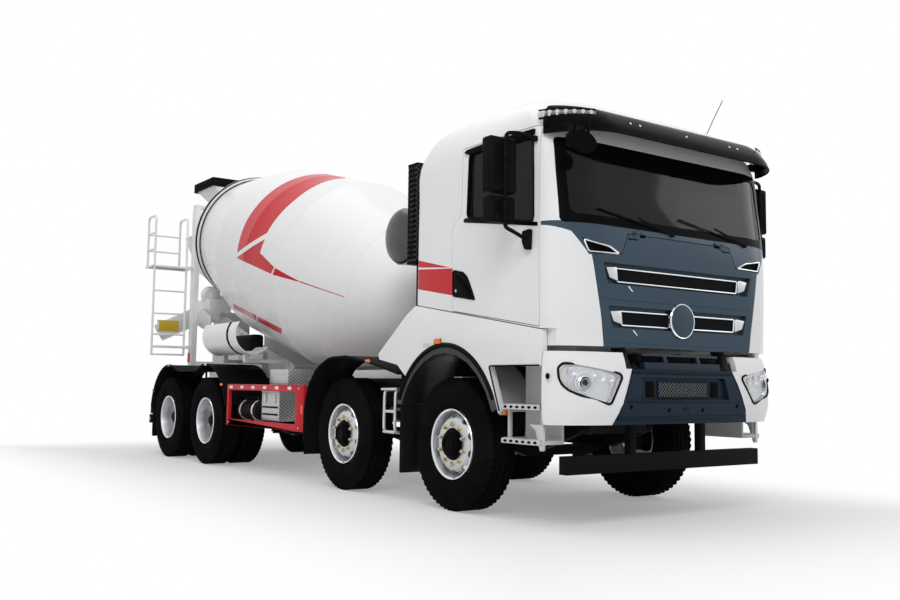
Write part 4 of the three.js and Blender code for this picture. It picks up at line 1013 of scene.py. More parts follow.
shell = cab_skin()
pocket = carve(front_prism(lid_outline(0.006)), cab_skin(0, 0.068))
screen_gap = block("interior_trim", (-1.165, -1.60, 2.195), (1.165, -1.12, 2.835), 0.03)
carve(shell, cab_room(), pocket, screen_gap)
for side, s in SIDES:
    carve(shell, side_prism(door_outline(0.006), s, 0.985))
    rise = (1.690 - 1.424) / (0.420 + 1.205)
    line = [(y, 1.432 + rise * (y + 1.205)) for y in (-1.205, 0.52)]
    carve(shell, side_prism([(-1.52, 1.20), (-1.52, 1.432), *line, (0.52, 1.20)], s, 1.175))
    carve(shell, front_prism([(s * x, z) for x, z in VENT], -1.60, -1.375))
settle(shell, "cab_paint")
parts = [shell]
for side, s in SIDES:
    for z in (1.70, 2.12):
        parts.append(rod("black_plastic", (s * 1.222, -1.18, z + 0.061), (s * 1.222, -1.18, z + 0.11), 0.014))
        parts.append(block("black_plastic", (s * 1.210, -1.23, z + 0.062), (s * 1.228, -1.182, z + 0.108),
                           0.003))
    parts.append(rod("cast_iron", (s * 0.5405, -1.38, 1.15), (s * 0.60, -1.38, 1.15), 0.038, 24))
    arm = [(-1.406, 1.15), (-1.406, 1.18), (-1.34, 1.33), (-1.24, 1.33), (-1.32, 1.15)]
    parts.append(plate("cast_iron", [(s * 0.542, y, z) for y, z in arm], (s * 0.056, 0, 0), 0.005))
    parts.append(rod("blue_grey_paint", (s * 0.40, -1.428, 2.166), (s * 0.46, -1.428, 2.166), 0.012, 16))
    parts.append(plate("fine_mesh", [(s * x, -1.388, z) for x, z in VENT], (0, 0.01, 0), 0.002))
    edge = [(s * (0.82 + (x - 0.82) * 0.94), -1.430 + max(0, x - 0.80) * 0.13, 2.025 + (z - 2.025) * 0.86)
            for x, z in VENT]
    parts.append(tube("chrome_trim", edge, 0.0075, 0.02, 8, True))
done("cab_body", "cab", "white_paint", parts, "cab_shell")
print("cab shell:", len(pieces[-1].data.polygons), "faces")

# %% [markdown]
# ## Doors
# A door is the part of the skin inside its outline, with the window cut out. The pane sits a
# little inside the skin, in a rubber frame, and a dark deflector covers the window's top edge.
# The handle lies in a black recess at the rear edge.

# %% Doors
for side, s in SIDES:
    leaf = cab_skin()
    carve(leaf, cab_room())
    carve(leaf, side_prism(door_outline(0), s, 1.17), how="INTERSECT")
    carve(leaf, side_prism(WINDOW, s, 1.0))
    settle(leaf, "cab_paint")
    parts = [leaf]
    parts.append(plate("door_glass", [(s * 1.2145, y, z) for y, z in WINDOW], (s * 0.006, 0, 0), 0))
    for gauge, x in ((0.011, 1.2405), (0.010, 1.224)):
        frame_path = [(s * (x - max(0, z - 2.6) * 0.018), y, z) for y, z in WINDOW]
        parts.append(tube("gloss_black", frame_path, gauge, 0.05, 8, True))
    sill = [(-1.17, 2.175), (-1.17, 2.205), (-0.29, 2.352), (-0.262, 2.338), (-0.272, 2.318)]
    parts.append(plate("gloss_black", [(s * 1.236, y, z) for y, z in sill], (s * 0.014, 0, 0), 0.004))
    shade = [(-1.13, 2.86), (-1.13, 2.905), (-0.62, 2.918), (-0.30, 2.905), (-0.262, 2.885), (-0.32, 2.862),
             (-0.60, 2.868)]
    parts.append(plate("gloss_black", [(s * 1.228, y, z) for y, z in shade], (s * 0.026, 0, 0), 0.008, 3))
    recess = [(-0.128, 1.945), (-0.262, 1.918), (-0.318, 1.878), (-0.361, 1.806), (-0.424, 1.686),
              (-0.128, 1.735)]
    parts.append(plate("black_plastic", [(s * 1.238, y, z) for y, z in recess], (s * 0.0085, 0, 0), 0.003))
    rim = [(s * 1.2465, y, z) for y, z in recess]
    parts.append(tube("gloss_black", rim, 0.0045, 0.02, 8, True))
    parts.append(tube("gloss_black",
                      [(s * 1.247, -0.16, 1.90), (s * 1.262, -0.19, 1.875), (s * 1.262, -0.30, 1.80),
                                      (s * 1.247, -0.36, 1.735)], 0.011, 0.03, 10))
    parts.append(rod("bare_screw", (s * 1.244, -0.17, 1.775), (s * 1.251, -0.17, 1.775), 0.013))
    for z in (1.70, 2.12):
        parts.append(rod("black_plastic", (s * 1.222, -1.18, z), (s * 1.222, -1.18, z + 0.06), 0.014))
        parts.append(block("black_plastic", (s * 1.210, -1.178, z + 0.002), (s * 1.230, -1.12, z + 0.058),
                           0.003))
    lining = [(y * 0.96 - 0.02, 1.53 + (z - 1.45) * 0.45) for y, z in door_outline(0)[:3]] + [(-1.13, 1.86)]
    parts.append(plate("interior_trim", [(s * 1.128, y, z) for y, z in lining], (s * 0.01, 0, 0), 0.004))
    done("door_leaf_" + side, "door_" + side + "_leaf", "white_paint", parts, "door_" + side)
print("doors:", len(pieces[-1].data.polygons), "faces each")

# %% [markdown]
# ## Windscreen, visor and wipers
# The pane is a thin slice of the skin, set in by a few millimetres. Its printed black border is
# a frame of its own. Above it sits a deep visor with a lamp strip at each end.

# %% Windscreen
pane = carve(cab_skin(-0.006), cab_skin(-0.006, 0.012))
carve(pane, block("dark_glass", (-1.1645, -1.60, 2.1955), (1.1645, -1.12, 2.8345), 0.03), how="INTERSECT")
settle(pane, "dark_glass", 50)
done("screen_glass", "cab", "glass", [pane], "windscreen")
border = carve(cab_skin(-0.0015), cab_skin(-0.0015, 0.004))
carve(border, block("gloss_black", (-1.1645, -1.60, 2.1955), (1.1645, -1.12, 2.8345), 0.03), how="INTERSECT")
carve(border, block("gloss_black", (-1.095, -1.60, 2.262), (1.095, -1.0, 2.775), 0.06, 5))
settle(border, "gloss_black", 50)
wipers = [border]
for x0, x1, rise in ((-0.10, -0.86, 0.065), (0.78, 0.02, 0.075)):
    middle = ((x0 + x1) / 2, -1.432, 2.215 + rise)
    wipers.append(rod("black_plastic", (x0, -1.41, 2.190), (x0, -1.442, 2.190), 0.017))
    wipers.append(tube("black_plastic", [(x0, -1.436, 2.190), middle], 0.008, 0.02, 8))
    wipers.append(tube("black_plastic",
                       [(x0 * 0.75 + x1 * 0.25, -1.428, 2.225), (x1 * 1.02 - x0 * 0.02, -1.408, 2.25 + rise)],
                       0.0065, 0.02, 8))
done("screen_border", "cab", "black_plastic", wipers)

# %% Sun visor
VISOR_LEVELS = [
    (2.850, -1.573, 0.0, 1.247, 0.460, 0.480, 0.03),
    (2.935, -1.522, 0.0, 1.247, 0.450, 0.430, 0.03),
    (3.060, -1.380, 0.0, 1.247, 0.430, 0.330, 0.03),
    (3.085, -1.230, 0.0, 1.225, 0.400, 0.260, 0.03),
]


def visor_skin(finish, inset, low, high, drop=0.0):
    rings = []
    for level in between_levels(VISOR_LEVELS, 4):
        z, front, rear, half, across, along, back = level
        if low - 0.001 <= z <= high + 0.001:
            rings.append(plan((z - drop, front + inset, -0.60, half - inset, across - inset, along - inset,
                               0.03), 0, 14, 2))
    return skinned(finish, rings)


hood = visor_skin("gloss_black", 0, 2.85, 3.085)
carve(hood, visor_skin("gloss_black", 0.012, 2.85, 3.085, 0.0125), cab_skin(0.001))
carve(hood, block("gloss_black", (-1.4, -1.72, 2.84), (1.4, -1.212, 3.12), 0.001, 1), how="INTERSECT")
settle(hood, "gloss_black")
visor = [hood]
rim = [point for point in plan((2.853, -1.5725, -0.60, 1.2475, 0.460, 0.480, 0.03), -0.004, 14, 2)
       if point.y - FIRST_AXLE < -1.20]
rim = [(point.x, point.y - FIRST_AXLE, point.z) for point in rim]
visor.append(tube("black_plastic", rim, 0.0075, 0.01, 8))


def on_visor(x, z):
    """The station of the visor's outer face at a place across and a height."""
    levels = between_levels(VISOR_LEVELS, 8)
    level = min(levels, key=lambda each: abs(each[0] - z))
    _, front, _, half, across, along, _ = level
    past = max(0.0, abs(x) - (half - across))
    return front + along * (1 - math.sqrt(max(0.0, 1 - (past / across) ** 2)))


for x in (-0.62, -0.52, 0.0, 0.52, 0.62):
    y = on_visor(x, 2.965)
    visor.append(rod("white_lens", (x, y + 0.004, 2.965), (x, y - 0.004, 2.968), 0.010, 16))
for side, s in SIDES:
    strip = []
    for i in range(9):
        x = s * (0.93 + 0.305 * math.sin(i / 8 * math.pi / 2))
        strip.append((x, on_visor(x, 3.0) + 0.006, 3.0))
    for a, b in zip(strip, strip[1:]):
        middle = [(p + q) / 2 for p, q in zip(a, b)]
        visor.append(block("white_lens", (middle[0] - 0.013, middle[1] - 0.012, 2.978),
                           (middle[0] + 0.013, middle[1] + 0.01, 3.022), 0.004))
    visor.append(tube("clear_lens", strip, 0.019, 0.05, 12))
    visor.append(tube("black_plastic", [(x, y - 0.004, 3.030) for x, y, _ in strip], 0.007, 0.05, 8))
    visor.append(tube("black_plastic", [(x, y - 0.006, 2.968) for x, y, _ in strip], 0.008, 0.05, 8))
    visor.append(block("gloss_black", (s * 1.110, -1.256, 2.902), (s * 1.238, -1.214, 2.958), 0.006))
done("visor", "cab", "black_plastic", visor, "sun_visor")
print("visor:", len(pieces[-1].data.polygons), "faces")

# %% [markdown]
# ## Front lid
# The lid below the windscreen is one pressing with two long slots. Each slot is a pocket with
# black mesh at its back, a thin bright frame and a bright block at each end. The lower one is
# interrupted by a plain round boss.

# %% Lid
lid = carve(cab_skin(0, 0, "blue_grey_paint"), cab_skin(0, 0.06))
carve(lid, front_prism(lid_outline(0)), how="INTERSECT")
for z0, z1, top, bottom in ((1.768, 1.922, 0.842, 0.800), (1.448, 1.608, 0.790, 0.748)):
    carve(lid, front_prism([(-top, z1), (top, z1), (bottom, z0), (-bottom, z0)], -1.60, -1.392))
carve(lid, block("interior_trim", (-1, -1.5, 1.650), (1, -1.4275, 1.656), 0.001, 1))
carve(lid, block("interior_trim", (-1, -1.5, 1.338), (1, -1.4190, 1.342), 0.001, 1))
for s in (-1, 1):
    carve(lid, block("interior_trim", (s * 0.394, -1.46, 2.135), (s * 0.461, -1.385, 2.20), 0.001, 1))
soften(settle(lid, "blue_grey_paint"), 0.004, 2, 50)
settle(lid, "blue_grey_paint")
parts = [lid]


def slot(x0, x1, z0, z1, lean0, lean1):
    """Mesh and frame between x0 and x1; the ends lean by the given amounts."""
    corners = [(x0, z1), (x1, z1), (x1 - lean1, z0), (x0 + lean0, z0)]
    parts.append(plate("fine_mesh", [(x, -1.400, z) for x, z in corners], (0, 0.006, 0), 0))
    parts.append(tube("chrome_trim", [(x, -1.407, z) for x, z in corners], 0.0075, 0.015, 8, True))


slot(-0.697, 0.697, 1.788, 1.888, 0.014, 0.014)
slot(-0.652, -0.120, 1.470, 1.574, 0.012, 0)
slot(0.120, 0.652, 1.470, 1.574, 0, 0.012)
for s in (-1, 1):
    for x1, x0, z1, z0 in ((0.806, 0.700, 1.894, 1.790), (0.768, 0.655, 1.574, 1.472)):
        end = [(s * x1, -1.394, z1 - 0.006), (s * x0, -1.394, z1 + 0.004), (s * (x0 - 0.014), -1.394, z0),
               (s * (x1 - 0.036), -1.394, z0 + 0.022)]
        parts.append(plate("brushed_metal", end, (0, -0.034, 0), 0.008, 3))
    parts.append(rod("blue_grey_paint", (s * 0.4605, -1.428, 2.166), (s * 0.52, -1.428, 2.166), 0.012, 16))
    parts.append(block("blue_grey_paint", (s * 0.4605, -1.430, 2.120), (s * 0.52, -1.416, 2.166), 0.003))
    parts.append(block("black_plastic", (s * 0.485, -1.4285, 2.108), (s * 0.585, -1.420, 2.122), 0.003))
boss = spun("blue_grey_paint", [(0.128, -0.030), (0.128, 0.004), (0.120, 0.012), (0.095, 0.016), (0, 0.019),
                                (0, -0.030)],
            (0, -1.425, 1.528), (0, -1, 0), 64)
ring = spun("chrome_trim", [(0.124, 0.0), (0.136, 0.0), (0.139, 0.008), (0.134, 0.016), (0.127, 0.014)],
            (0, -1.425, 1.528), (0, -1, 0), 64)
parts += [boss, ring]
for (x0, z0), (x1, z1) in (((-0.592, 1.761), (-0.548, 1.722)), ((-0.537, 1.438), (-0.492, 1.398))):
    y0 = -1.4335 if z0 > 1.6 else -1.4255
    parts.append(rod("chrome_trim", (x0, y0, z0), (x1, y0, z1), 0.0055, 10))
done("front_lid", "front_panel_lid", "blue_grey_paint", parts, "front_panel")
print("lid:", len(pieces[-1].data.polygons), "faces")

# %% [markdown]
# ## Bumper and headlamps
# The bumper wraps round both corners. Its middle is a dark insert with air slots on top, a mesh
# recess and a stepped lower lip; the corners are white and carry the headlamps. A headlamp is a
# pocket with a bright reflector, a round projector and a clear cover flush with the bumper.

# %% Bumper finish and skin
def bumper_paint():
    made = paint("bumper_paint", WHITE, 0.32, 0.0, shine=0.3, ior=1.25)
    x, y, z = made.axes()
    station = y - FIRST_AXLE
    edge = (z - 0.745) * -0.47 + 0.757
    insert = (edge - abs(x)).above(0)
    back = station.above(-1.375) * abs(x).below(1.19)
    drift = made.noise(0.9).fade(0.3, 0.7)
    white = made.mix(drift, *shades(WHITE, 0.025))
    navy = made.mix(drift, *shades((0.010, 0.021, 0.036), 0.06))
    front = made.mix(insert, white, navy)
    made.set("Base Color", made.mix(back * insert, front, (0.012, 0.012, 0.013)))


bumper_paint()
BUMPER_LEVELS = [
    (0.745, -1.430, -0.9, 1.239, 0.480, 0.270, 0.02),
    (0.900, -1.470, -0.9, 1.245, 0.480, 0.270, 0.02),
    (1.160, -1.445, -0.9, 1.245, 0.480, 0.270, 0.02),
    (1.270, -1.410, -0.9, 1.241, 0.480, 0.270, 0.02),
]


def bumper_skin(inset=0.0, low=0.0, high=0.0, shift=0.0, finish="bumper_paint"):
    levels = between_levels(BUMPER_LEVELS, 3)
    rings = []
    for i, (z, front, rear, half, across, along, back) in enumerate(levels):
        z += low if i == 0 else high if i == len(levels) - 1 else 0
        ring = plan((z, front + inset, rear, half - inset, across - inset, along - inset, 0.02), 0, 14, 1)
        rings.append([point + Vector((0, shift, 0)) for point in ring])
    return skinned(finish, rings)


def on_bumper(x, z):
    levels = between_levels(BUMPER_LEVELS, 8)
    _, front, _, half, across, along, _ = min(levels, key=lambda each: abs(each[0] - z))
    past = max(0.0, abs(x) - (half - across))
    return front + along * (1 - math.sqrt(max(0.0, 1 - (past / across) ** 2)))


LAMP = [(1.178, 1.150), (1.150, 1.184), (1.110, 1.183), (0.722, 1.121), (0.690, 1.108), (0.683, 1.085),
        (0.800, 0.905), (0.825, 0.894), (1.058, 0.958), (1.130, 0.992), (1.165, 1.030), (1.180, 1.080)]
RECESS = [(-0.465, 1.092), (0.465, 1.092), (0.505, 0.925), (-0.505, 0.925)]

# %% Bumper
bumper = bumper_skin()
carve(bumper, bumper_skin(0.05, -0.01, -0.05))
carve(bumper, block("interior_trim", (-1.4, -1.215, 0.6), (1.4, -0.8, 1.4), 0.001, 1))
carve(bumper, front_prism(RECESS, -1.60, -1.432))
for x0, x1 in ((-0.535, -0.205), (-0.170, 0.170), (0.205, 0.535)):
    carve(bumper, block("interior_trim", (x0, -1.6, 1.205), (x1, -1.395, 1.252), 0.004))
for side, s in SIDES:
    carve(bumper, block("interior_trim", (s * 0.43, -1.442, 1.08), (s * 0.63, -0.98, 1.40), 0.001, 1))
    carve(bumper, block("interior_trim", (s * 0.43, -1.60, 1.152), (s * 0.63, -0.98, 1.40), 0.001, 1))
    carve(bumper, carve(front_prism([(s * x, z) for x, z in LAMP]), bumper_skin(0, 0, 0, 0.03)))
    for x, z in ((0.600, 0.875), (0.190, 0.848)):
        carve(bumper, rod("interior_trim", (s * x, -1.6, z), (s * x, -1.435, z), 0.017))
settle(bumper, "bumper_paint")
parts = [bumper]
for side, s in SIDES:
    parts.append(block("chassis_black", (s * 0.355, -1.425, 0.905), (s * 0.425, -1.401, 1.055), 0.003))
mesh = [(-0.285, 1.064), (0.285, 1.064), (0.285, 0.944), (-0.285, 0.944)]
parts.append(plate("bumper_mesh", [(x, -1.436, z) for x, z in mesh], (0, 0.004, 0), 0))
parts.append(tube("navy_paint", [(x, -1.438, z) for x, z in mesh], 0.006, 0.01, 8, True))
for s in (-1, 1):
    parts.append(block("gloss_black", (s * 0.318, -1.4385, 0.944), (s * 0.412, -1.431, 1.064), 0.004))
for x0, x1 in ((-0.425, -0.205), (-0.170, 0.170), (0.205, 0.425)):
    parts.append(block("gloss_black", (x0 + 0.001, -1.404, 1.206), (x1 - 0.001, -1.392, 1.251), 0.003))
parts.append(block("seal_rubber", (-0.400, -1.385, 1.245), (0.400, -1.320, 1.272), 0.006))


def lip(x_low, x_high, z_low, z_high, proud, soft=0.004):
    """A raised band across the dark insert."""
    y = min(on_bumper(0, z_low), on_bumper(0, z_high))
    outline = [(-x_high, z_high), (x_high, z_high), (x_low, z_low), (-x_low, z_low)]
    parts.append(plate("navy_paint", [(x, y + 0.03, z) for x, z in outline], (0, -0.03 - proud, 0), soft, 3))


lip(0.572, 0.562, 1.118, 1.150, 0.008, 0.006)
lip(0.650, 0.640, 0.905, 0.927, 0.005, 0.005)
lip(0.722, 0.712, 0.775, 0.802, 0.006, 0.006)
for s in (-1, 1):
    seam = [(s * (0.757 - (z - 0.745) * 0.47), on_bumper(0.7, z) - 0.0005, z)
            for z in (0.750, 0.85, 0.95, 1.05, 1.148, 1.205)]
    parts.append(tube("seal_rubber", seam, 0.0035, 0.02, 6))
    parts.append(rod("gloss_black", (s * 1.2462, -1.10 - 0.18, 1.09), (s * 1.2405, -1.28, 1.09), 0.022))
done("bumper", "chassis", "white_paint", parts, "front_bumper")

# %% Headlamps
for side, s in SIDES:
    outline = [(s * x, z) for x, z in LAMP]
    bowl = carve(bumper_skin(0, 0, 0, 0.0255, "lamp_chrome"), bumper_skin(0, 0, 0, 0.0295))
    carve(bowl, front_prism([(s * (0.94 + (x - 0.94) * 0.985), 1.04 + (z - 1.04) * 0.97) for x, z in LAMP]),
          how="INTERSECT")
    parts = [settle(bowl, "lamp_chrome")]
    cover = carve(bumper_skin(0, 0, 0, 0.0015, "clear_lens"), bumper_skin(0, 0, 0, 0.0045))
    carve(cover, front_prism(outline), how="INTERSECT")
    parts.append(settle(cover, "clear_lens", 60))
    rim = [(s * x, on_bumper(x, z) - 0.001, z) for x, z in LAMP]
    parts.append(tube("gloss_black", rim, 0.0085, 0.02, 8, True))
    eye = (s * 1.005, -1.400, 1.043)
    aim = (s * 0.22, -1, 0)
    parts.append(spun("chrome_trim", [
        (0.046, 0.018), (0.062, 0.004), (0.078, 0.012), (0.083, 0.010), (0.084, -0.02), (0.046, -0.02)],
        eye, aim, 64))
    parts.append(spun("gloss_black",
                      [(0.047, -0.02), (0.047, 0.016), (0.041, 0.021), (0.036, 0.016), (0.036, -0.02)],
                      eye, aim, 48))
    parts.append(spun("dark_glass", [
        (0, 0.026), (0.015, 0.024), (0.028, 0.018), (0.036, 0.008), (0.036, -0.02), (0, -0.02)],
        eye, aim, 48, 80))
    for x, y, z, r in ((0.885, -1.432, 1.085, 0.036), (0.795, -1.440, 1.075, 0.028),
                       (1.095, -1.365, 1.120, 0.03)):
        parts.append(spun("lamp_chrome", [
            (0, -0.006), (r * 0.6, -0.003), (r, 0.008), (r + 0.003, 0.008), (r + 0.003, -0.012),
            (0, -0.012)], (s * x, y, z), (s * 0.2, -1, 0.1), 32))
        parts.append(spun("clear_lens", [(0, 0.012), (r * 0.35, 0.006), (r * 0.35, -0.006), (0, -0.006)],
                          (s * x, y, z), (s * 0.2, -1, 0.1), 24, 80))
    strip = [(s * 0.795, -1.4455, 0.935), (s * 0.818, -1.4455, 0.935), (s * 0.790, -1.4455, 1.045),
             (s * 0.770, -1.4455, 1.045)]
    parts.append(plate("white_lens", strip, (0, 0.008, 0), 0.002))
    lens_bar = [(s * 1.165, -1.318, 1.10), (s * 1.14, -1.335, 1.165), (s * 1.02, -1.375, 1.165)]
    parts.append(tube("amber_soft", lens_bar, 0.008, 0.02, 8))
    for i in range(5):
        x = 1.07 + i * 0.022
        z0 = 0.985 + i * 0.009
        parts.append(block("lamp_chrome", (s * x, on_bumper(x, z0) + 0.016, z0),
                           (s * (x + 0.010), on_bumper(x, z0) + 0.026, z0 + 0.052), 0.002))
    done("headlamp_" + side, "chassis", "glass", parts)
print("bumper and lamps:", len(pieces), "pieces so far")

# %% [markdown]
# ## Drum
# The drum is a turned shell: a domed head, a cone, a short barrel and a long tail cone that ends
# in an open mouth behind the raceway. Weld seams stand out as low beads. Its paint carries the
# red marks, worked out from the length along the axis and the angle round it.

# %% Drum
DRUM_FOOT = (0, DRUM_STATION, DRUM_HEIGHT)
DRUM_AXIS = (0, math.cos(DRUM_TILT), math.sin(DRUM_TILT))


def axle_of_drum(finish, profile, steps=160):
    return spun(finish, profile, DRUM_FOOT, DRUM_AXIS, steps)


def bead(s, r, height=0.0035, width=0.007):
    return [(r, s - width), (r + height, s - width * 0.4), (r + height, s + width * 0.4), (r, s + width)]


def cone_radius(s):
    """The front cone widens from 0.700 to 1.147 m, between 1.05 and 2.687 m along the axis."""
    return 0.700 + 0.447 * (s - 1.05) / 1.637


def tail_radius(s):
    """The tail cone narrows from 1.147 to 0.880 m, from 4.50 m along the axis on."""
    return 1.147 - 0.267 * (s - 4.50) / 1.305


def throat_radius(s, start):
    """Behind the raceway the mouth narrows by 0.320 m over 0.48 m."""
    return start - 0.320 * (s - 5.92) / 0.48


head = [(0, 0.44), (0.09, 0.44), (0.09, 0.655), (0.16, 0.668), (0.26, 0.690), (0.38, 0.738), (0.50, 0.800),
        (0.60, 0.885), (0.668, 0.975), (0.700, 1.050)]
cone = [(cone_radius(s), s) for s in (1.12, 1.30, 1.50)]
cone += bead(1.56, 0.8393) + [(cone_radius(s), s) for s in (1.70, 2.00, 2.30, 2.55)]
barrel = [(1.128, 2.640), (1.1385, 2.672)] + bead(2.700, 1.1435)
barrel += [(1.1465, 2.76), (1.147, 3.3), (1.147, 3.593)]
barrel += [(1.1475, 3.596), (1.1475, 3.604), (1.147, 3.607), (1.147, 4.30), (1.146, 4.44), (1.143, 4.50),
           (1.133, 4.56)]
tail = [(tail_radius(s), s) for s in (4.70, 5.10, 5.50, 5.78)]
ring = [(0.880, 5.800), (0.915, 5.805), (0.920, 5.812), (0.920, 5.908), (0.915, 5.915), (0.880, 5.920)]
mouth = [(throat_radius(s, 0.880), s) for s in (6.02, 6.18, 6.32)]
mouth += [(0.566, 6.392), (0.566, 6.400), (0.552, 6.400)]
inside = [(throat_radius(s, 0.868), s) for s in (6.38, 6.20, 5.93)]
inside += [(0.868, 5.80), (1.135, 4.49), (1.135, 2.70), (0.690, 1.06), (0.48, 0.815), (0.25, 0.705),
           (0, 0.672)]
parts = [axle_of_drum("drum_paint", head + cone + barrel + tail + ring + mouth + inside)]
parts.append(axle_of_drum("cast_iron", [(0.9205, 5.822), (0.9215, 5.826), (0.9215, 5.894), (0.9205, 5.898),
                                        (0.915, 5.86)]))
parts.append(axle_of_drum("seal_rubber", [(0.884, 5.786), (0.896, 5.788), (0.897, 5.799), (0.880, 5.799)]))
parts.append(axle_of_drum("cast_iron",
                          [(0.225, 0.63), (0.225, 0.664), (0.215, 0.672), (0.09, 0.672), (0.09, 0.63)], 64))
parts.append(axle_of_drum("white_paint",
                          [(0.555, 6.10), (0.556, 6.385), (0.470, 6.30), (0.430, 6.05), (0.470, 5.95)], 48))
done("drum_shell", "mixer_drum", "white_paint", parts, "drum")
gear = axle_of_drum("cast_iron", [
    (0, 0.18), (0.10, 0.18), (0.13, 0.186), (0.150, 0.20), (0.205, 0.235), (0.222, 0.262), (0.230, 0.275),
    (0.230, 0.33), (0.222, 0.335), (0.222, 0.40), (0.230, 0.405), (0.230, 0.49), (0.220, 0.515),
    (0.200, 0.545), (0.185, 0.560), (0.0915, 0.560), (0.0915, 0.43), (0, 0.43)], 64)
bolts = []
for i in range(12):
    a = 2 * math.pi * i / 12
    spot = Vector((math.cos(a) * 0.207, -math.sin(DRUM_TILT) * math.sin(a) * 0.207,
                   math.cos(DRUM_TILT) * math.sin(a) * 0.207))
    middle = Vector(DRUM_FOOT) + Vector(DRUM_AXIS) * 0.540 + spot
    bolts.append(rod("rim_metal", middle, middle + Vector(DRUM_AXIS) * 0.018, 0.012, 6, 0.002))
done("gearbox", "chassis", "cast_iron", [gear, *bolts], "drum_gearbox")
print("drum:", len(pieces[-2].data.polygons), "faces")

# %% [markdown]
# ## Water tank and intake
# The tank is a plain cylinder with dished ends, a yellowish clamp ring at each end, dark bands
# and two short fillers. The polished ends are painted near black, a painted reflection of dark
# surroundings. The air intake behind the cab is a tall box wrapped in a ribbed mesh.

# %% Water tank and intake
TANK = (0, 0.93, 2.37)
round_side = [(0, -1.062), (0.256, -1.062), (0.260, -1.058), (0.260, 1.058), (0.256, 1.062), (0, 1.062)]
parts = [spun("white_paint", round_side, TANK, (1, 0, 0), 96)]
for side, s in SIDES:
    # The dished ends take the near-black painted reflection.
    parts.append(spun("tank_end_painted_reflection", [
        (0, 1.150), (0.060, 1.148), (0.120, 1.142), (0.170, 1.132), (0.210, 1.117), (0.238, 1.098),
        (0.252, 1.078), (0.257, 1.060), (0.257, 1.03), (0, 1.03)], TANK, (s, 0, 0), 96, 60))
    parts.append(spun("brass_ring", [
        (0.2585, 1.040), (0.263, 1.043), (0.263, 1.058), (0.2585, 1.062), (0.25, 1.05)],
        TANK, (s, 0, 0), 96))
    parts.append(rod("white_paint", (s * 0.55, 0.93, 2.62), (s * 0.55, 0.93, 2.655), 0.05, 24))
    for x in (0.34, 0.52):
        parts.append(spun("chassis_black", [
            (0.2605, x - 0.02), (0.264, x - 0.018), (0.264, x + 0.018), (0.2605, x + 0.02), (0.255, x)],
            TANK, (s, 0, 0), 96))
done("tank", "chassis", "bare_metal", parts, "water_tank")
stack = [block("intake_mesh", (-1.235, 0.4405, 2.062), (-1.052, 0.595, 2.948), 0.022, 3),
         block("black_plastic", (-1.164, 0.4405, 1.502), (-1.052, 0.548, 2.063), 0.018, 3),
         block("black_plastic", (-1.2345, 0.4415, 2.925), (-1.0505, 0.594, 2.949), 0.010, 3),
         block("black_plastic", (-1.2345, 0.4415, 2.061), (-1.0505, 0.594, 2.085), 0.010, 3)]
for i in range(17):
    z = 2.12 + i * 0.047
    stack.append(tube("black_plastic", [(-1.2352, 0.462, z), (-1.2352, 0.575, z + 0.045)], 0.005, 0.01, 6))
    stack.append(tube("black_plastic", [(-1.2352, 0.462, z + 0.045), (-1.2352, 0.575, z)], 0.005, 0.01, 6))
    stack.append(tube("black_plastic", [(-1.215, 0.5945, z), (-1.072, 0.5945, z + 0.045)], 0.004, 0.01, 6))
stack.append(tube("black_plastic",
                  [(-1.108, 0.52, 1.51), (-1.108, 0.56, 1.40), (-0.85, 0.60, 1.30), (-0.5, 0.60, 1.30)],
                  0.05, 0.12, 20))
done("intake", "cab", "black_plastic", stack, "intake_stack")

# %% [markdown]
# ## Mirrors
# Each door carries a tall mirror and a small one on a bent tube. A housing is a softened block
# whose back is inset and pushed in, with the glass as a thin pane on the rear side.

# %% Mirrors
def housing(x0, x1, y0, y1, z0, z1):
    made = block("black_plastic", (x0, y0, z0), (x1, y1, z1), 0.022, 4)
    editing(made)
    pick(made, "FACE", lambda face: face.normal.y < -0.99)
    bpy.ops.mesh.inset(thickness=0.018, depth=0)
    bpy.ops.mesh.inset(thickness=0.010, depth=-0.006)
    bpy.ops.mesh.inset(thickness=0.026, depth=-0.014)
    pick(made, "FACE", lambda face: face.normal.y > 0.99)
    bpy.ops.mesh.inset(thickness=0.008, depth=0)
    bpy.ops.mesh.inset(thickness=0.003, depth=-0.006)
    made = settle(made, "black_plastic", 30)
    pane = block("mirror_glass", (x0 + 0.036, y1 - 0.007, z0 + 0.036), (x1 - 0.036, y1 - 0.003, z1 - 0.036),
                 0.0015, 2)
    return [made, pane]


for side, s in SIDES:
    lo, hi = sorted((s * 1.348, s * 1.598))
    parts = housing(lo, hi, -1.060, -0.950, 2.412, 2.820)
    parts += housing(lo + 0.004, hi - 0.004, -1.050, -0.955, 2.192, 2.388)
    bar = [(s * 1.247, -1.146, 2.826), (s * 1.33, -1.120, 2.848), (s * 1.40, -1.100, 2.855),
           (s * 1.462, -1.080, 2.846), (s * 1.472, -1.075, 2.80), (s * 1.472, -1.075, 2.20),
           (s * 1.470, -1.075, 2.155), (s * 1.36, -1.075, 2.118), (s * 1.264, -1.075, 2.080)]
    parts.append(tube("black_plastic", bar, 0.0145, 0.05, 16))
    for z in (2.29, 2.58, 2.68):
        parts.append(rod("black_plastic", (s * 1.472, -1.078, z), (s * 1.472, -1.035, z), 0.017, 20))
        parts.append(rod("black_plastic", (s * 1.472, -1.075, z - 0.030), (s * 1.472, -1.075, z + 0.030),
                         0.021, 20))
    foot = [(-1.120, 2.158), (-1.036, 2.150), (-1.032, 2.070), (-1.062, 2.010), (-1.112, 2.006)]
    parts.append(plate("black_plastic", [(s * 1.2465, y, z) for y, z in foot], (s * 0.040, 0, 0), 0.010, 3))
    parts.append(block("black_plastic", (s * 1.243, -1.172, 2.800), (s * 1.275, -1.122, 2.842), 0.008, 3))
    done("mirror_set_" + side, "door_" + side + "_leaf", "black_plastic", parts, "mirror_" + side)
oval = []
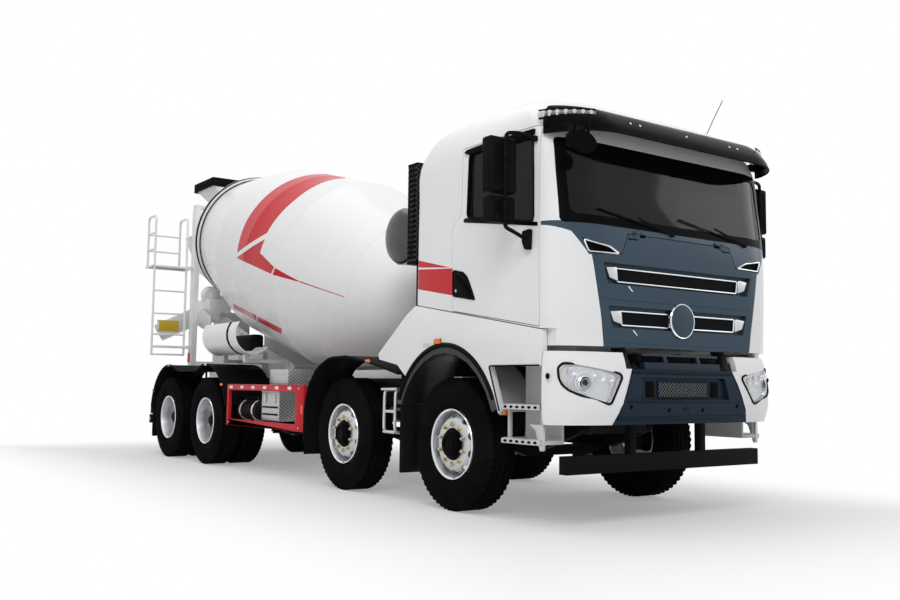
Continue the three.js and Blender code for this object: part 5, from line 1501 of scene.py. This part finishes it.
bowl = spun("gloss_black", [
    (0, -0.046), (0.05, -0.044), (0.085, -0.034), (0.100, -0.014), (0.102, 0.006), (0.096, 0.012),
    (0.090, 0.006), (0, 0.004)], (0, -FIRST_AXLE, 0), (0, -1, 0), 48)
editing(bowl)
bpy.ops.transform.resize(value=(1.45, 1, 0.80), center_override=(0, 0, 0))
bpy.ops.object.mode_set(mode="OBJECT")
bowl.location = at(-1.125, -1.500, 2.752)
oval.append(settle(bowl, "gloss_black"))
for x in (-1.19, -1.06):
    oval.append(tube("gloss_black", [(x, -1.500, 2.80), (x, -1.505, 2.855), (x, -1.50, 2.905)], 0.012, 0.03,
                     12))
done("kerb_mirror", "cab", "black_plastic", oval)
print("mirrors on both doors and over the kerb")

# %% [markdown]
# ## Fenders, steps and lamps
# The front fender is one moulding: white outside, black in the wheel arch, with light steps
# below the door. The recessed step well in front of the wheel is painted mid grey as shade. Its
# colours follow the arch, so they are worked out from the distance to the axle. Steps, lamps,
# flaps and fixings are added as parts of their own.

# %% Fender finish
def fender_paint():
    made = paint("fender_paint", WHITE)
    x, y, z = made.axes()
    station = y - FIRST_AXLE
    round_axle = (station * station) * (1 / 0.760 ** 2) + (z - 0.54) * (z - 0.54) * (1 / 0.820 ** 2)
    arch = round_axle.below(1.012) * z.above(0.66)
    inner = abs(x).below(1.181) * station.above(-0.735)
    flap = station.between(0.62, 0.70) * z.below(0.905)
    # The step well below the door is painted mid grey as shade in the recess, not as a grey part.
    step = (station.below(-0.735) * z.below(1.162)
            * (abs(x).between(1.013, 1.181).larger(z.below(0.89) * abs(x).above(1.013))))
    drift = made.noise(0.9).fade(0.3, 0.7)
    white = made.mix(drift, *shades(WHITE, 0.025))
    black = made.mix(drift, (0.010, 0.010, 0.011), (0.014, 0.014, 0.015))
    # Mid grey for the painted shade in the step well.
    grey = made.mix(drift, (0.46, 0.47, 0.48), (0.54, 0.55, 0.56))
    colour = made.mix(arch.larger(inner).larger(flap), white, black)
    # The recessed walls in front of the wheel arch take the same painted shade.
    sheet = abs(x).below(1.181) * station.below(-0.25) * round_axle.above(0.846) * z.below(1.34)
    made.set("Base Color", made.mix(step.larger(sheet), colour, grey))


fender_paint()

# %% Front fenders
FENDER_FACE, MUDGUARD_FACE = 1.2435, 1.236

for side, s in SIDES:
    parts = [dressed("front_fender_" + side, "fender_paint", 0.006, 3)]
    parts.append(block("black_plastic", (s * 0.780, -0.74, 1.092), (s * 0.798, 0.60, 1.34), 0.004))
    arch = [(s * FENDER_FACE, 0.742 * math.cos(math.radians(a)), 0.54 + 0.800 * math.sin(math.radians(a)))
            for a in range(26, 158, 6)]
    parts.append(tube("black_plastic", arch, 0.016, 0.03, 12))
    parts.append(block("amber_lens", (s * 1.236, 0.035, 1.353), (s * 1.262, 0.125, 1.392), 0.008, 3))
    parts.append(block("black_plastic", (s * 1.232, 0.028, 1.347), (s * 1.246, 0.132, 1.398), 0.006))
    parts.append(block("bare_screw", (s * 1.240, 0.20, 1.335), (s * 1.2465, 0.30, 1.365), 0.003))
    for y0, z0, y1, z1 in ((-1.185, 0.8805, -0.80, 0.888), (-1.19, 0.6305, -0.77, 0.638)):
        for i in range(7):
            x = s * (1.035 + i * 0.031)
            parts.append(block("brushed_metal", (x - 0.009, y0, z0), (x + 0.009, y1, z1), 0.003))
    for z0, z1 in ((0.845, 0.885), (0.596, 0.634)):
        parts.append(block("step_grey", (s * 1.2345, -1.196, z0), (s * 1.2465, -0.762, z1), 0.005))
        for i in range(6):
            y = -1.15 + i * 0.068
            hole = rod("gloss_black", (s * 1.2462, y, (z0 + z1) / 2), (s * 1.2475, y, (z0 + z1) / 2), 0.013,
                       16, 0)
            editing(hole)
            bpy.ops.transform.resize(value=(1, 1.5, 0.8), center_override=at(s * 1.2468, y, (z0 + z1) / 2))
            parts.append(settle(hole, "gloss_black"))
    bracket = [(-1.20, 0.745), (-1.20, 0.56), (-1.17, 0.555), (-1.12, 0.70), (-1.05, 0.745)]
    parts.append(plate("step_grey", [(s * 1.19, y, z) for y, z in bracket], (s * 0.03, 0, 0), 0.005))
    parts.append(block("amber_lens", (s * 1.19, -0.775, 0.80), (s * 1.225, -0.755, 0.835), 0.005))
    parts.append(tube("gloss_black", [(s * FENDER_FACE, -1.19, 1.168), (s * FENDER_FACE, -0.605, 1.168),
                                      (s * FENDER_FACE, -0.735, 0.83)],
                      0.006, 0.02, 8))
    parts.append(block("seal_rubber", (s * 0.79, 0.646, 0.262), (s * 1.232, 0.660, 0.86), 0.004))
    for i in range(4):
        parts.append(rod("bare_screw", (s * (0.86 + i * 0.11), 0.620, 0.875),
                         (s * (0.86 + i * 0.11), 0.626, 0.875), 0.011, 12))
    done("fender_" + side, "chassis", "white_paint", parts, "front_fender_" + side)

# %% Bracket step between the front axles
for side, s in SIDES:
    parts = [plate("brushed_metal", [(s * 0.86, 0.72, 0.99), (s * 1.235, 0.72, 0.99),
                                     (s * 1.235, 0.98, 0.985), (s * 0.86, 0.98, 0.985)],
                   (0, 0, -0.02), 0.004)]
    for y in (0.76, 0.94):
        parts.append(tube("rim_metal", [(s * 0.88, y, 0.975), (s * 1.215, y, 0.972), (s * 1.220, y, 0.60),
                                        (s * 1.05, y, 0.585)],
                          0.014, 0.05, 12))
    for z in (0.60, 0.78):
        parts.append(rod("rim_metal", (s * 1.219, 0.755, z), (s * 1.219, 0.945, z), 0.014, 16))
    parts.append(rod("cast_iron", (s * 0.4265, 0.85, 0.93), (s * 0.90, 0.85, 0.965), 0.022, 16))
    done("mid_step_" + side, "chassis", "bare_metal", parts)

# %% Second and rear fenders
for side, s in SIDES:
    parts = [dressed("second_fender_" + side, "black_plastic", 0.004)]
    edge = [(0.700, 1.115), (1.0, 1.180), (1.30, 1.235), (1.62, 1.280), (1.95, 1.270), (2.2, 1.175),
            (2.38, 0.995), (2.455, 0.775), (2.465, 0.432)]
    parts.append(tube("black_plastic", [(s * MUDGUARD_FACE, y, z) for y, z in edge], 0.012, 0.06, 10))
    parts.append(block("amber_lens", (s * MUDGUARD_FACE, 1.16, 1.215), (s * 1.2475, 1.25, 1.245), 0.006, 3))
    parts.append(block("black_plastic", (s * MUDGUARD_FACE, 1.15, 1.208), (s * 1.243, 1.26, 1.252), 0.004))
    parts.append(block("seal_rubber", (s * 0.80, 2.452, 0.300), (s * 1.235, 2.463, 0.62), 0.004))
    done("mudguard_" + side, "chassis", "black_plastic", parts, "second_fender_" + side)
    parts = [dressed("rear_fender_" + side, "black_plastic", 0.004)]
    for middle, a0, a1 in ((5.2, 16, 118), (6.55, 62, 172)):
        arc = [(s * MUDGUARD_FACE, middle - 0.690 * math.cos(math.radians(a)),
                0.556 + 0.690 * math.sin(math.radians(a)))
               for a in range(a0, a1, 6)]
        parts.append(tube("black_plastic", arc, 0.011, 0.03, 10))
    for middle, a, finish in ((5.2, 40, "amber_lens"), (5.2, 90, "white_lens"), (6.55, 90, "amber_lens"),
                              (6.55, 150, "red_lens")):
        y = middle - 0.70 * math.cos(math.radians(a))
        z = 0.545 + 0.700 * math.sin(math.radians(a))
        parts.append(block(finish, (s * MUDGUARD_FACE, y - 0.035, z - 0.018),
                           (s * 1.2475, y + 0.035, z + 0.012), 0.006, 3))
    parts.append(block("seal_rubber", (s * 0.62, 7.148, 0.250), (s * 1.235, 7.160, 0.56), 0.004))
    done("rear_guard_" + side, "chassis", "black_plastic", parts, "rear_fender_" + side)
print("fenders done,", len(pieces), "pieces")

# %% [markdown]
# ## Side guard, boxes and tanks
# The red guard between the axles has white reflectors along its top rail. Behind it hang the
# battery box in tread plate, two air tanks on the right and the fuel tank on the left.

# %% Side guards
for side, s in SIDES:
    parts = [dressed("side_guard_" + side, "red_paint", 0.008, 3)]
    for i in range(6):
        y = 2.78 + i * 0.31
        parts.append(block("white_lens", (s * 1.230, y, 0.948), (s * 1.2375, y + 0.085, 0.982), 0.004))
    parts.append(block("amber_lens", (s * 1.230, 2.515, 0.70), (s * 1.2385, 2.545, 0.80), 0.005))
    for y in (2.60, 4.42):
        for z in (0.555, 0.965):
            parts.append(rod("bare_screw", (s * 1.230, y, z), (s * 1.2395, y, z), 0.012, 6, 0.002))
    done("guard_" + side, "chassis", "red_paint", parts, "side_guard_" + side)

# %% Boxes and tanks
parts = [dressed("battery_box", "tread_plate", 0.006, 3)]
parts.append(block("tread_plate", (-1.156, 3.236, 0.917), (-1.052, 3.694, 0.931), 0.004))
parts.append(block("tread_plate", (-1.058, 3.235, 0.935), (-1.046, 3.695, 1.169), 0.004))
parts.append(block("tread_plate", (-1.054, 3.235, 1.163), (-0.638, 3.695, 1.173), 0.004))
parts.append(block("tread_plate", (-1.054, 3.228, 0.935), (-0.640, 3.238, 1.168), 0.004))
for y in (3.34, 3.59):
    parts.append(block("rim_metal", (-1.162, y - 0.018, 0.80), (-1.148, y + 0.018, 0.90), 0.004))
    parts.append(rod("rim_metal", (-1.164, y, 0.885), (-1.146, y, 0.885), 0.014, 16))
for z in (0.66, 0.74):
    parts.append(block("chassis_black", (-1.158, 3.27, z), (-1.148, 3.66, z + 0.02), 0.004))
done("batteries", "chassis", "bare_metal", parts, "battery_box")
parts = []
for x in (-1.040, -0.785):
    parts.append(spun("chassis_black", [
        (0, 3.78), (0.045, 3.783), (0.080, 3.795), (0.104, 3.818), (0.116, 3.848), (0.118, 3.88),
        (0.118, 4.34), (0.116, 4.372), (0.104, 4.402), (0.080, 4.425), (0.045, 4.437), (0, 4.44)],
        (x, 0, 0.700), (0, 1, 0), 64))
    for y in (3.93, 4.27):
        parts.append(spun("brushed_metal", [(0.1185, y), (0.122, y + 0.002), (0.122, y + 0.030),
                                            (0.1185, y + 0.032), (0.11, y + 0.016)],
                          (x, 0, 0.700), (0, 1, 0), 64))
    parts.append(rod("brass_nut", (x, 3.775, 0.70), (x, 3.79, 0.70), 0.012, 6))
    parts.append(rod("brass_nut", (x, 4.1, 0.575), (x, 4.1, 0.59), 0.010, 6))
for y in (3.920, 4.260):
    parts.append(block("chassis_black", (-1.080, y, 0.792), (-0.4255, y + 0.05, 0.858), 0.004))
parts.append(tube("seal_rubber", [(-1.04, 4.438, 0.70), (-1.04, 4.47, 0.70), (-0.785, 4.47, 0.72),
                                  (-0.785, 4.44, 0.70)], 0.008, 0.03, 8))
done("air_reservoirs", "chassis", "black_steel", parts, "air_tanks")
parts = [dressed("fuel_tank", "brushed_metal", 0.012, 4)]
for y in (2.76, 3.30, 3.82):
    band = [(0.618, 0.556), (1.162, 0.556), (1.162, 1.134), (0.618, 1.134)]
    parts.append(tube("chassis_black", [(x, y, z) for x, z in band], 0.010, 0.09, 8, True))
parts.append(rod("gloss_black", (0.96, 2.80, 1.165), (0.96, 2.80, 1.195), 0.062, 32))
done("fuel", "chassis", "bare_metal", parts, "fuel_tank")

# %% [markdown]
# ## Mixer frame, pedestal and hopper
# These weldments keep the working shape and only get softened edges, bolts and ribs. The
# loading hopper wears a thick black rubber rim, and a light grey plate stands beside each of
# the drum's rollers.

# %% Frames
parts = [dressed("front_pedestal", "white_paint", 0.004)]
for s in (-1, 1):
    for y, z in ((0.88, 1.24), (1.20, 1.24), (1.48, 1.24), (0.88, 1.44), (1.44, 1.42)):
        parts.append(rod("bare_screw", (s * 0.379, y, z), (s * 0.390, y, z), 0.014, 6, 0.002))
done("pedestal", "chassis", "white_paint", parts, "front_pedestal")
parts = [dressed("mixer_frame", "white_paint", 0.004)]
for s in (-1, 1):
    for y, z in ((4.6, 1.255), (5.1, 1.30), (5.6, 1.32), (6.1, 1.40), (6.6, 1.55)):
        parts.append(rod("bare_screw", (s * 0.416, y, z), (s * 0.427, y, z), 0.013, 6, 0.002))
    for y0, z0 in ((5.2, 1.43), (6.0, 1.70)):
        rib = [(y0, 1.185), (y0 + 0.02, 1.185), (y0 + 0.02, z0), (y0, z0)]
        parts.append(plate("white_paint", [(s * 0.4165, y, z) for y, z in rib], (s * 0.05, 0, 0), 0.003))
    lid_box = [(6.42, 1.70), (6.95, 1.84), (6.90, 2.03), (6.72, 2.06), (6.40, 1.94)]
    parts.append(plate("step_grey", [(s * 0.705, y, z) for y, z in lid_box], (s * 0.02, 0, 0), 0.006, 3))
    parts.append(block("red_lens", (s * 0.742, 7.12, 1.30), (s * 0.756, 7.18, 1.44), 0.006))
done("drum_frame", "chassis", "white_paint", parts, "mixer_frame")
parts = [dressed("hopper", "white_paint", 0.004)]
rim = [(-0.541, 6.949, 3.985), (0.541, 6.949, 3.985), (0.541, 7.681, 3.985), (-0.541, 7.681, 3.985)]
parts.append(tube("seal_rubber", rim, 0.020, 0.10, 12, True))
band = [(-0.545, 6.945), (0.545, 6.945), (0.545, 7.685), (-0.545, 7.685)]
for a, b in zip(band, band[1:] + band[:1]):
    low = (min(a[0], b[0]) - 0.006, min(a[1], b[1]) - 0.006, 3.905)
    high = (max(a[0], b[0]) + 0.006, max(a[1], b[1]) + 0.006, 4.036)
    parts.append(block("seal_rubber", low, high, 0.005, 3))
done("loading_hopper", "chassis", "white_paint", parts, "hopper")
done("hood", "chassis", "white_paint", [dressed("discharge_hood", "white_paint", 0.003)], "discharge_hood")

# %% [markdown]
# ## Ladder and chutes
# The ladder is round tube with a small grating platform. The spare chute rests on two arms at
# the right side with a black strap, and the working chute hangs from its swivel at the rear.

# %% Ladder
left_x, right_x, face, back = -0.800, -1.270, 7.225, 7.540
parts = []
for x in (left_x, right_x):
    rail = [(x, face, 1.392), (x, face, 3.420), (x, back, 3.420), (x, back, 2.690)]
    parts.append(tube("white_paint", rail, 0.0165, 0.07, 16))
for z in (1.41, 1.70, 2.00, 2.33):
    parts.append(rod("white_paint", (right_x, face, z), (left_x, face, z), 0.0135, 20))
for z in (2.93, 3.17):
    parts.append(tube("white_paint", [(left_x, back, z), (right_x, back, z)], 0.0125, 0.05, 12))
    parts.append(tube("white_paint", [(right_x, face, z), (right_x, back, z)], 0.0125, 0.05, 12))
frame_path = [(-1.290, 7.206, 2.686), (-0.702, 7.206, 2.686), (-0.702, 7.559, 2.686), (-1.290, 7.559, 2.686)]
for a, b in zip(frame_path, frame_path[1:] + frame_path[:1]):
    low = (min(a[0], b[0]) - 0.006, min(a[1], b[1]) - 0.006, 2.671)
    high = (max(a[0], b[0]) + 0.006, max(a[1], b[1]) + 0.006, 2.699)
    parts.append(block("white_paint", low, high, 0.003))
for i in range(9):
    y = 7.245 + i * 0.035
    parts.append(block("brushed_metal", (-1.286, y - 0.003, 2.676), (-0.706, y + 0.003, 2.694), 0.001, 1))
for i in range(7):
    x = -1.24 + i * 0.08
    parts.append(block("brushed_metal", (x - 0.003, 7.21, 2.680), (x + 0.003, 7.555, 2.692), 0.001, 1))
for z in (2.66, 1.50):
    parts.append(block("white_paint", (-0.815, 7.082, z), (-0.7405, 7.238, z + 0.040), 0.004))
parts.append(block("white_paint", (-1.268, 7.212, 1.502), (-0.7405, 7.238, 1.538), 0.005))
parts.append(block("yellow_paint", (-1.195, 7.238, 1.745), (-0.875, 7.246, 1.905), 0.004))
for x in (-1.17, -0.90):
    parts.append(rod("bare_screw", (x, 7.246, 1.885), (x, 7.250, 1.885), 0.008, 12, 0.001))
parts.append(block("white_paint", (-1.19, 7.230, 1.76), (-1.17, 7.239, 1.89), 0.002))
done("ladder", "chassis", "white_paint", parts, "rear_ladder")

# %% Chutes
def half_pipe(node):
    return dressed(node, "white_paint", 0.0015, 1, 40)


SPARE_X, SPARE_Z, SPARE_TURN = -0.975, 1.600, math.radians(38)


def trough_arc(radius, y):
    """Half a circle round the spare chute, turned as it lies on its arms."""
    path = []
    for i in range(13):
        a = math.pi + math.pi * i / 12 - SPARE_TURN
        path.append((SPARE_X + radius * math.cos(a), y, SPARE_Z + radius * math.sin(a)))
    return path


parts = [half_pipe("stored_chute")]
for y in (4.36, 5.40):
    parts.append(tube("white_paint", trough_arc(0.237, y), 0.008, 0.04, 8))
for y in (4.585, 4.60, 4.615):
    parts.append(tube("seal_rubber", trough_arc(0.243, y), 0.006, 0.03, 6))
parts.append(block("black_plastic", (-0.84, 4.70, 1.38), (-0.68, 5.30, 1.62), 0.04, 5))
done("spare_chute", "chassis", "white_paint", parts, "stored_chute")
done("chute_swivel_head", "chute_swivel", "white_paint", [dressed("chute_carrier", "white_paint", 0.004)],
     "chute_carrier")
done("chute_trough_piece", "chute_trough", "white_paint", [half_pipe("chute")], "chute")
print("mixer frame and chutes done,", len(pieces), "pieces")

# %% [markdown]
# ## Chassis, running gear and interior
# Forgings, castings and rolled rails keep their shape, get soft edges and their own finish.
# Rivets, tail lamp boards, reflectors and a tow eye complete the frame. The seats and the
# dashboard get the softest edges.

# %% Chassis and interior
for node, finish, slot_name, soft in (
        ("engine_block", "cast_iron", "cast_iron", 0.012),
        ("front_axle_1", "chassis_black", "black_steel", 0.005),
        ("front_axle_2", "chassis_black", "black_steel", 0.005),
        ("rear_bogie", "chassis_black", "black_steel", 0.005),
        ("dashboard", "interior_trim", "interior_trim", 0.03),
        ("seat_right", "seat_cloth", "interior_trim", 0.035),
        ("seat_left", "seat_cloth", "interior_trim", 0.035),
        ("steering_wheel", "interior_trim", "interior_trim", 0.003)):
    body_name = nodes[node]["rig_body"]
    made = dressed(node, finish, soft, 4 if soft > 0.01 else 2, 50)
    done(node + "_looks", body_name, slot_name, [made], node)
for side, s in SIDES:
    for number in (1, 2):
        node = "knuckle_" + side + "_" + str(number)
        done(node + "_looks", nodes[node]["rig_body"], "cast_iron", [dressed(node, "cast_iron", 0.004)], node)
parts = [dressed("chassis_frame", "chassis_black", 0.005)]
for s in (-1, 1):
    for y in [i * 0.24 + 2.6 for i in range(18)]:
        parts.append(rod("cast_iron", (s * 0.4245, y, 0.86), (s * 0.432, y, 0.86), 0.012, 6, 0.002))
        parts.append(rod("cast_iron", (s * 0.4245, y, 1.00), (s * 0.432, y, 1.00), 0.012, 6, 0.002))
    parts.append(block("gloss_black", (s * 0.72, 7.335, 0.560), (s * 1.190, 7.405, 0.700), 0.010, 3))
    for i, colour in enumerate(("red_lens", "amber_lens", "white_lens", "red_lens")):
        x = 0.745 + i * 0.112
        parts.append(block(colour, (s * x, 7.400, 0.575), (s * (x + 0.098), 7.4095, 0.685), 0.006, 3))
    parts.append(block("amber_lens", (s * 1.190, 7.345, 0.470), (s * 1.204, 7.395, 0.510), 0.004))
    parts.append(block("red_lens", (s * 1.02, 7.4095, 0.455), (s * 1.18, 7.4145, 0.525), 0.003))
    parts.append(block("chassis_black", (s * 0.70, 7.345, 0.545), (s * 0.735, 7.395, 0.60), 0.004))
parts.append(tube("cast_iron", [(-0.04, -1.36, 0.86), (-0.04, -1.46, 0.86), (0.04, -1.46, 0.86),
                                (0.04, -1.36, 0.86)], 0.014, 0.03, 12))
done("chassis_looks", "chassis", "black_steel", parts, "chassis_frame")

# %% Antenna, roof trim and small things on the cab
parts = [rod("gloss_black", (0.80, -1.02, 3.165), (0.80, -1.02, 3.200), 0.016, 20, far=0.009),
         tube("gloss_black", [(0.80, -1.02, 3.19), (0.83, -1.10, 3.36), (0.865, -1.16, 3.50)], 0.0035, 0.02,
              8)]
done("antenna", "cab", "black_plastic", parts)
parts = []
for x, size in ((-0.55, 0.05), (-0.48, 0.035)):
    parts.append(spun("red_paint", [(0, -0.01), (size * 0.5, -0.009), (size * 0.6, 0), (size * 0.5, 0.009),
                                    (0, 0.01)],
                      (x, -1.20, 2.62), (0, 1, 0), 24))
    parts.append(rod("seal_rubber", (x, -1.20, 2.64), (x, -1.20, 2.80), 0.002, 8))
parts.append(block("interior_trim", (-1.12, -1.16, 2.812), (1.12, -0.95, 2.90), 0.02, 3))
for x in (-0.62, 0.62):
    parts.append(block("seat_cloth", (x - 0.42, -1.165, 2.66), (x + 0.42, -1.145, 2.82), 0.02, 3))
done("cab_trim", "cab", "interior_trim", parts)

# %% [markdown]
# ## Floor and light
# A pale floor takes a soft shadow, and the background is plain white to the eye, to glossy
# paint and through glass. Three large soft lamps and an even sky light the truck.

# %% Floor, sky and lamps
def stage_floor():
    bpy.ops.object.select_all(action="DESELECT")
    bpy.ops.mesh.primitive_plane_add(size=1, location=(0, 0, 0))
    floor = bpy.context.active_object
    editing(floor)
    bpy.ops.mesh.subdivide(number_cuts=4)
    bpy.ops.transform.resize(value=(160, 160, 1), center_override=(0, 0, 0))
    bpy.ops.object.mode_set(mode="OBJECT")
    floor.name = "floor"
    made = Finish("pale_floor", (0.80, 0.80, 0.81), 0.9)
    seen = made.node("ShaderNodeLightPath")
    glow = made.node("ShaderNodeEmission", None, {"Color": (1, 1, 1, 1), "Strength": 1.0})
    share = (Value(made, seen.outputs["Is Camera Ray"]) + Value(made, seen.outputs["Is Glossy Ray"])
             + Value(made, seen.outputs["Is Transmission Ray"])).smaller(1.0)
    x, y, z = made.axes()
    away = abs(x).fade(1.6, 3.6).larger(abs(y).fade(4.7, 7.4))
    mixed = made.node("ShaderNodeMixShader", None, {0: share * (away * (1 - FLOOR_GLOW) + FLOOR_GLOW),
                                                    1: made.shader.outputs[0], 2: glow.outputs[0]})
    out = made.nodes["Material Output"]
    made.links.new(mixed.outputs[0], out.inputs["Surface"])
    floor.data.materials.append(made.material)
    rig.stage(floor)


FLOOR_GLOW = 0.28
stage_floor()


def sky(strength):
    world = bpy.data.worlds.new("studio")
    bpy.context.scene.world = world
    world.use_nodes = True
    tree = world.node_tree
    tree.nodes.clear()
    path = tree.nodes.new("ShaderNodeLightPath")
    either = tree.nodes.new("ShaderNodeMath")
    either.operation = "MAXIMUM"
    any_of = tree.nodes.new("ShaderNodeMath")
    any_of.operation = "MAXIMUM"
    dim, white, mixed = (tree.nodes.new(kind) for kind in (
        "ShaderNodeBackground", "ShaderNodeBackground", "ShaderNodeMixShader"))
    out = tree.nodes.new("ShaderNodeOutputWorld")
    dim.inputs["Strength"].default_value = strength
    white.inputs["Strength"].default_value = 1.0
    for background in (dim, white):
        background.inputs["Color"].default_value = (1, 1, 1, 1)
    tree.links.new(path.outputs["Is Camera Ray"], either.inputs[0])
    tree.links.new(path.outputs["Is Glossy Ray"], either.inputs[1])
    tree.links.new(either.outputs[0], any_of.inputs[0])
    tree.links.new(path.outputs["Is Transmission Ray"], any_of.inputs[1])
    tree.links.new(any_of.outputs[0], mixed.inputs[0])
    tree.links.new(dim.outputs[0], mixed.inputs[1])
    tree.links.new(white.outputs[0], mixed.inputs[2])
    tree.links.new(mixed.outputs[0], out.inputs["Surface"])


def lamp(name, place, target, size, watts):
    light = bpy.data.lights.new(name, "AREA")
    light.shape = "RECTANGLE"
    light.size, light.size_y = size
    light.energy = watts
    holder = bpy.data.objects.new(name, light)
    bpy.context.collection.objects.link(holder)
    holder.location = place
    holder.rotation_euler = (Vector(target) - Vector(place)).to_track_quat("-Z", "Y").to_euler()


sky(0.5)
lamp("front_lamp", (-7, -11, 9), (0, -2, 1.6), (7, 5), 520)
lamp("top_lamp", (-2, 0, 12), (0, 0, 1), (12, 8), 480)
lamp("left_lamp", (9, -8, 6), (0, -3, 1.5), (6, 5), 150)
bpy.context.scene.view_settings.view_transform = "Standard"

# %% Sizes and finish
json.dump({"cad": cad_box, "visual": [list(corner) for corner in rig.bounds()]},
          open("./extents.json", "w"))
print("pieces:", len(pieces), "visual box", json.load(open("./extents.json"))["visual"])
